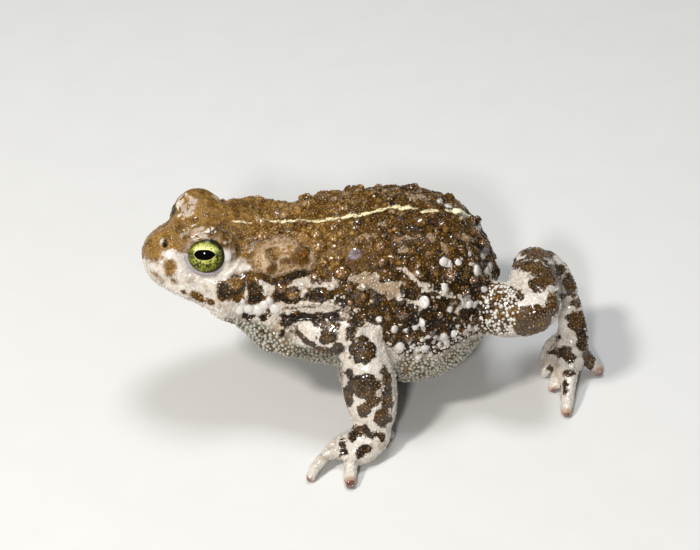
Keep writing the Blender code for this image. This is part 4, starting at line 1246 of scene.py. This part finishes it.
for side, name in ((-1, "lids_left"), (1, "lids_right")):
    rows = lid_ring(side)
    slices, count = rows.shape[:2]
    faces = []
    for one in range(slices):
        for row in range(count):
            after = (one + 1) % slices
            below = (row + 1) % count
            faces.append((one * count + row, after * count + row, after * count + below, one * count + below))
    lid_mesh = bpy.data.meshes.new(name)
    lid_mesh.from_pydata((rows.reshape(-1, 3) * MM).tolist(), [], faces)
    whole = bmesh.new()
    whole.from_mesh(lid_mesh)
    bmesh.ops.subdivide_edges(whole, edges=whole.edges, cuts=1, use_grid_fill=True, smooth=1.0)
    bmesh.ops.recalc_face_normals(whole, faces=whole.faces)
    whole.to_mesh(lid_mesh)
    whole.free()
    lid_points = read_points(lid_mesh)
    lid_shares = np.zeros((len(lid_points), len(PARTS)))
    lid_shares[:, 0] = 1
    lid_fields = markings(lid_points, read_normals(lid_mesh), lid_shares)
    middle, forward, level, upward = eyes[side]
    lid_turns = (lid_points - middle) / np.linalg.norm(lid_points - middle, axis=1)[:, None] * EYE_RADIUS
    lid_up = lid_turns @ upward - LID_MIDDLE[1]
    lid_level = lid_turns @ level - LID_MIDDLE[0]
    below = eased(-lid_up, -1.2, 0.3)
    outward = eased(np.hypot(lid_level / LID_HALF[0], lid_up / LID_HALF[1]), 1.04, 1.16)
    toward_right = eased(lid_level, 1.2, 3.0)
    # The lower lid turns lilac-grey and less pearly: partly the lid's own lilac, partly painted shade under
    # the eye. The left side keeps its own pale lilac.
    lilac = np.maximum(below, 0.35 * eased(-lid_level, 1.5, 2.8))
    lid_fields["lilac"] = lilac * (1 - toward_right) * (0.85 + 0.15 * outward)
    lid_fields["pearl"] = np.maximum(0.8 * toward_right, (1 - outward) * np.maximum(below * 0.5, 0.15))
    lid_fields["dust"] = lid_fields["dust"] * (1 - below)
    bright = (below > 0.5) | ((lid_level > 1.0) & (lid_up < 1.6))
    lid_fields["cover"] = np.where(bright, -FIELD_LIMIT, np.minimum(lid_fields["cover"], 1.0))
    lid_fields["soft"][:] = 0.5
    lid_fields["rust"] = lid_fields["rust"] * (1 - below)
    store(lid_mesh, lid_fields)
    lid_mesh.shade_smooth()
    lid_mesh.materials.append(skin_mesh.materials[0])
    lids = placed(name, lid_mesh)
    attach(lids, "root")

# Warts
# Glands of horny skin that stand proud of the hide: brown with a rusty pore on the back, round and pearly
# white along jaw, flank and rump. The larger ones stand where the photograph shows them, and smaller ones
# are strewn between.
WART_SIDES = 10
WART_RINGS = ((1.06, -0.80, 0.0), (0.99, 0.06, 0.1), (0.83, 0.44, 0.4), (0.50, 0.83, 0.8))
WART_HEIGHT = 0.36
MIDLINE_STRIP = 4
HEAD_ENDS = -24
EYE_CLEARANCE = (5.0, 5.9)


def dome_shape(name, sides, rings):
    """One grain of unit size: rings of width, height and the field bead, closed by a top and a base."""
    dome = bmesh.new()
    heights = []
    made_rings = []
    for number, (width, height, bead) in enumerate(rings):
        ring = []
        for corner in range(sides):
            turn = 2 * math.pi * (corner + number / 2) / sides
            ring.append(dome.verts.new((width * math.cos(turn), width * math.sin(turn), height)))
            heights.append(bead)
        made_rings.append(ring)
    top = dome.verts.new((0, 0, 1))
    heights.append(1.0)
    for lower, upper in zip(made_rings, made_rings[1:]):
        for corner in range(sides):
            after = (corner + 1) % sides
            dome.faces.new((lower[corner], lower[after], upper[corner]))
            dome.faces.new((lower[after], upper[after], upper[corner]))
    for corner in range(sides):
        dome.faces.new((made_rings[-1][corner], made_rings[-1][(corner + 1) % sides], top))
    dome.faces.new(made_rings[0][::-1])
    mesh = meshed(dome, name)
    store(mesh, {"bead": np.array(heights)})
    mesh.shade_smooth()
    return placed(name, mesh)


def new_tree(name, floats):
    """A geometry node tree with those inputs and a seed, and the function that adds nodes to it."""
    tree = bpy.data.node_groups.new(name, "GeometryNodeTree")
    tree.interface.new_socket("Geometry", in_out="INPUT", socket_type="NodeSocketGeometry")
    for socket in floats:
        tree.interface.new_socket(socket, in_out="INPUT", socket_type="NodeSocketFloat")
    tree.interface.new_socket("Seed", in_out="INPUT", socket_type="NodeSocketInt")
    tree.interface.new_socket("Geometry", in_out="OUTPUT", socket_type="NodeSocketGeometry")

    def node(kind, settings, sockets):
        made = tree.nodes.new(kind)
        for setting, value in settings.items():
            setattr(made, setting, value)
        for socket, value in sockets.items():
            if isinstance(value, bpy.types.NodeSocket):
                tree.links.new(value, made.inputs[socket])
            else:
                made.inputs[socket].default_value = value
        return made

    return tree, node


def finish_tree(node, stood, material):
    """The end of both trees: instances made real, with their material."""
    real = node("GeometryNodeRealizeInstances", {}, {"Geometry": stood.outputs["Instances"]})
    whole = real.outputs["Geometry"]
    painted = node("GeometryNodeSetMaterial", {}, {"Geometry": whole, "Material": material})
    node("NodeGroupOutput", {}, {"Geometry": painted.outputs["Geometry"]})


def wart_tree(shape, material):
    """Stands the shape on every corner of a mesh, turned and sized by the fields turn and size."""
    tree, node = new_tree("warts", ("Height",))
    given = node("NodeGroupInput", {}, {}).outputs
    turn = node("GeometryNodeInputNamedAttribute", {"data_type": "FLOAT_VECTOR"}, {"Name": "turn"})
    size = node("GeometryNodeInputNamedAttribute", {"data_type": "FLOAT_VECTOR"}, {"Name": "size"})
    taller = node("ShaderNodeCombineXYZ", {}, {"X": 1.0, "Y": 1.0, "Z": given["Height"]})
    sizes = {0: size.outputs[0], 1: taller.outputs[0]}
    scale = node("ShaderNodeVectorMath", {"operation": "MULTIPLY"}, sizes)
    rotation = node("FunctionNodeEulerToRotation", {}, {"Euler": turn.outputs[0]})
    model = node("GeometryNodeObjectInfo", {}, {"Object": shape})
    stood = node("GeometryNodeInstanceOnPoints", {}, {
        "Points": given["Geometry"], "Instance": model.outputs["Geometry"],
        "Rotation": rotation.outputs[0], "Scale": scale.outputs[0],
    })
    finish_tree(node, stood, material)
    return tree


def grown(name, ground, tree, seed, **inputs):
    """One piece made by a tree from a ground mesh; sizes are in millimetres."""
    piece = placed(name, ground)
    modifier = piece.modifiers.new(name, "NODES")
    modifier.node_group = tree
    for socket in tree.interface.items_tree:
        if socket.in_out == "INPUT" and socket.name in inputs:
            modifier[socket.identifier] = inputs[socket.name] * (1 if socket.name == "Height" else MM)
        elif socket.in_out == "INPUT" and socket.name == "Seed":
            modifier[socket.identifier] = seed
    made = bpy.data.meshes.new_from_object(piece.evaluated_get(bpy.context.evaluated_depsgraph_get()))
    piece.modifiers.clear()
    piece.data = made
    bpy.data.meshes.remove(ground)
    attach(piece, "root")


skin_normals = read_normals(skin_mesh)


def photo_warts(marks):
    """Place, normal and half sizes of warts where the photograph shows them, and of their mirror images."""
    spots = []
    for across, down, half_width, half_height in listed(marks):
        place, normal = skin_tree.ray_cast(camera.location / MM, sight(across, down))[:2]
        half_width = half_width / PIXELS_PER_MM
        half_height = half_height / PIXELS_PER_MM
        size = (half_width, half_height, WART_HEIGHT * math.sqrt(half_width * half_height))
        spots.append((place, normal, size))
        if place.y < MIDLINE - MIDLINE_STRIP:
            mirrored = Vector((place.x, 2 * MIDLINE - place.y, place.z))
            spots.append((*skin_tree.find_nearest(mirrored)[:2], size))
    return spots


def strewn_warts(amount, allowed, least, most, gap, seed, taken):
    """Warts at random corners of the skin, none nearer to another than gap times their sizes."""
    random = np.random.default_rng(seed)
    places = np.array([spot[0] for spot in taken])
    sizes = np.array([spot[2][0] for spot in taken])
    share = np.where(skin_points[:, 0] < FACE_ENDS, 0.25, 1.0) * np.clip(allowed, 0, 1)
    spots = []
    for index in random.choice(len(skin_points), amount * 10, p=share / share.sum()):
        size = least + (most - least) * random.random() ** 1.8
        clear = np.linalg.norm(places - skin_points[index], axis=1) - gap * (sizes + size)
        if clear.min() > 0 and len(spots) < amount:
            height = size * random.uniform(0.30, 0.46)
            half_height = size * random.uniform(0.8, 1.1)
            spots.append((skin_points[index], skin_normals[index], (size, half_height, height)))
            places = np.vstack((places, skin_points[index]))
            sizes = np.append(sizes, size)
    return spots


def top_warts(mounds, seed):
    """Three or four small warts on top of each mound."""
    random = np.random.default_rng(seed)
    spots = []
    for place, _, size in mounds:
        for turn in np.arange(random.integers(3, 5)) * 1.9 + random.uniform(0, 6):
            reach = size[0] * random.uniform(0.25, 0.6)
            near = Vector(place) + (to_right * math.cos(turn) + to_top * math.sin(turn)) * reach
            small = size[0] * random.uniform(0.28, 0.46)
            spots.append((*skin_tree.find_nearest(near)[:2], (small, small, small * 0.6)))
    return spots


def plant_warts(name, spots, seed, **forced):
    """One piece of warts at those spots, with the markings of the skin they stand on."""
    random = np.random.default_rng(seed)
    points = np.array([spot[0] for spot in spots])
    normals = np.array([spot[1] for spot in spots])
    nearest = [skin_mesh.polygons[skin_tree.find_nearest(Vector(point))[2]].vertices[0] for point in points]
    turns = []
    for normal in normals:
        upright = np.array(to_top) - normal * (normal @ np.array(to_top))
        upright = upright / np.linalg.norm(upright)
        turns.append(Matrix((np.cross(upright, normal), upright, normal)).transposed().to_euler())
    fields = markings(points, normals, skin_shares[nearest])
    fields["luck"] = random.random(len(points))
    for field, value in forced.items():
        fields[field][:] = value
    ground = bpy.data.meshes.new(name)
    ground.from_pydata((points * MM).tolist(), [], [])
    store(ground, fields)
    for field, values in (("turn", turns), ("size", np.array([spot[2] for spot in spots]) * MM)):
        layer = ground.attributes.new(field, "FLOAT_VECTOR", "POINT")
        layer.data.foreach_set("vector", np.array(values, dtype=np.float32).ravel())
    grown(name, ground, warts_on_skin, seed, Height=1.0)


body_share = skin_shares[:, 0]
limb_share = 1 - body_share
under = np.maximum(skin_fields["green"], eased(-skin_normals[:, 2], 0.2, 0.6) * body_share)
from_eye = np.minimum(*(np.linalg.norm(skin_points - eyes[side][0], axis=1) for side in eyes))
clear_of_eye = eased(from_eye, *EYE_CLEARANCE)
on_back = body_share * (1 - under) * clear_of_eye * (skin_points[:, 0] > HEAD_ENDS)
on_back = on_back * (skin_fields["stripe"] < -2)
on_back = on_back * (1 - skin_fields["gland"])
on_head = body_share * (1 - under) * clear_of_eye * (skin_points[:, 0] < HEAD_ENDS)
on_limbs = limb_share * (skin_points[:, 2] > 2.5) * (skin_normals[:, 2] > -0.5)

wart_shape = dome_shape("wart", WART_SIDES, WART_RINGS)
warts_on_skin = wart_tree(wart_shape, skin_mesh.materials[0])
white_spots = photo_warts(WHITE_WARTS)
mound_spots = photo_warts(BROWN_WARTS)
strewn = []
for amount, allowed, least, most, gap, seed in (
    (720, on_back, 0.26, 0.95, 1.15, 21),
    (170, on_head, 0.20, 0.48, 1.5, 22),
    (320, on_limbs, 0.20, 0.55, 1.2, 23),
):
    strewn += strewn_warts(amount, allowed, least, most, gap, seed, taken=white_spots + strewn)
plant_warts("white_warts", white_spots, seed=31, pearl=1, wart=0, cover=-FIELD_LIMIT, green=0)
plant_warts("mound_warts", top_warts(mound_spots, seed=32), seed=32, wart=1, cover=FIELD_LIMIT, pearl=0)
plant_warts("small_warts", strewn, seed=33, wart=1)
bpy.data.objects.remove(wart_shape)

# Granules
# The whole hide is beaded with small horny grains: fine on the head and back, round and white on throat and
# belly. They are strewn over the skin at an even spacing, each field of them as a piece of its own.
ROUND_GRAIN = ((1.0, -0.30, 0.0), (0.80, 0.42, 0.55), (0.40, 0.86, 0.9))
FINE_GRAIN = ((1.0, -0.25, 0.0), (0.74, 0.58, 0.7))
GRAIN_DENSITY = 14e6
SIZE_SEED = 7
BODY_GRAINS = {"Spacing": 0.56, "Least": 0.12, "Most": 0.38, "Height": 0.60}


def granule_tree(name, grain, material):
    """Geometry nodes that stand grains on a surface, spaced apart, where its field sow allows."""
    tree, node = new_tree(name, ("Spacing", "Least", "Most", "Height"))
    given = node("NodeGroupInput", {}, {}).outputs
    sow = node("GeometryNodeInputNamedAttribute", {"data_type": "FLOAT"}, {"Name": "sow"})
    grade = node("GeometryNodeInputNamedAttribute", {"data_type": "FLOAT"}, {"Name": "grade"})
    strewn_points = node("GeometryNodeDistributePointsOnFaces", {"distribute_method": "POISSON"}, {
        "Mesh": given["Geometry"],
        "Distance Min": given["Spacing"],
        "Density Max": GRAIN_DENSITY,
        "Density Factor": sow.outputs["Attribute"],
        "Seed": given["Seed"],
    })
    luck = node("FunctionNodeRandomValue", {"data_type": "FLOAT"}, {"Seed": given["Seed"]})
    kept = node("GeometryNodeStoreNamedAttribute", {"data_type": "FLOAT", "domain": "POINT"}, {
        "Geometry": strewn_points.outputs["Points"], "Name": "luck", "Value": luck.outputs[1],
    })
    limits = {2: given["Least"], 3: given["Most"], "Seed": SIZE_SEED}
    size = node("FunctionNodeRandomValue", {"data_type": "FLOAT"}, limits)
    times = {"operation": "MULTIPLY"}
    graded = node("ShaderNodeMath", times, {0: size.outputs[1], 1: grade.outputs["Attribute"]})
    wide = graded.outputs[0]
    tall = node("ShaderNodeMath", times, {0: wide, 1: given["Height"]})
    scale = node("ShaderNodeCombineXYZ", {}, {"X": wide, "Y": wide, "Z": tall.outputs[0]})
    model = node("GeometryNodeObjectInfo", {}, {"Object": grain})
    stood = node("GeometryNodeInstanceOnPoints", {}, {
        "Points": kept.outputs["Geometry"], "Instance": model.outputs["Geometry"],
        "Rotation": strewn_points.outputs["Rotation"], "Scale": scale.outputs[0],
    })
    finish_tree(node, stood, material)
    return tree


def sow_granules(name, tree, sow, grade, seed, **sizes):
    """One piece of grains on the skin where sow is above zero."""
    ground = skin_mesh.copy()
    store(ground, {"sow": sow, "grade": grade})
    grown(name, ground, tree, seed, **sizes)


round_grain = dome_shape("round_grain", sides=6, rings=ROUND_GRAIN)
fine_grain = dome_shape("fine_grain", sides=5, rings=FINE_GRAIN)
round_grains = granule_tree("round_grains", round_grain, skin_mesh.materials[0])
fine_grains = granule_tree("fine_grains", fine_grain, skin_mesh.materials[0])
along = skin_points[:, 0]
bare = (1 - skin_fields["pearl"]) * (skin_fields["lilac"] < 0.6) * (skin_fields["stripe"] < 0)
face = eased(-along, 27, 30)
upper_body = body_share * (1 - under) * clear_of_eye * bare * (1 - 0.6 * skin_fields["gland"])
snow = skin_fields["snow"]
smooth_cheek = 1 - 0.75 * eased(-skin_fields["cover"], -1, 2) * (1 - under)
limb_grade = 0.95 + 1.2 * snow + 0.40 * eased(skin_fields["cover"], 0, 2) * (1 - snow)
smooth_flank = 1 - 0.5 * eased(-skin_fields["cover"], -1, 2) * (1 - snow) * (1 - skin_fields["dust"])

beneath = under * (1 - face) * (skin_normals[:, 2] < 0.5)
sow_granules(
    "belly_granules", round_grains, beneath, 0.85 + 0.3 * under, seed=11,
    Spacing=0.70, Least=0.30, Most=0.52, Height=0.75,
)
on_head = body_share * clear_of_eye * bare * (along < HEAD_ENDS) * smooth_cheek
sow_granules(
    "head_granules", fine_grains, on_head, 0.8 + 0.4 * under, seed=12,
    Spacing=0.50, Least=0.12, Most=0.34, Height=0.42,
)
for name, start, end, growth, seed in (
    ("neck_granules", HEAD_ENDS, -6, 0.3, 13),
    ("back_granules", -6, 12, 0.4, 14),
    ("rump_granules", 12, 99, 0.4, 15),
):
    here = upper_body * smooth_flank * (along >= start) * (along < end)
    sow_granules(name, fine_grains, here, 1 + growth * snow, seed, **BODY_GRAINS)
on_limbs = limb_share * (skin_points[:, 2] > 1.0) * (skin_fields["green"] < 0.5)
sow_granules(
    "limb_granules", fine_grains, on_limbs, limb_grade, seed=16,
    Spacing=0.56, Least=0.11, Most=0.25, Height=0.50,
)
for shape in (round_grain, fine_grain):
    bpy.data.objects.remove(shape)
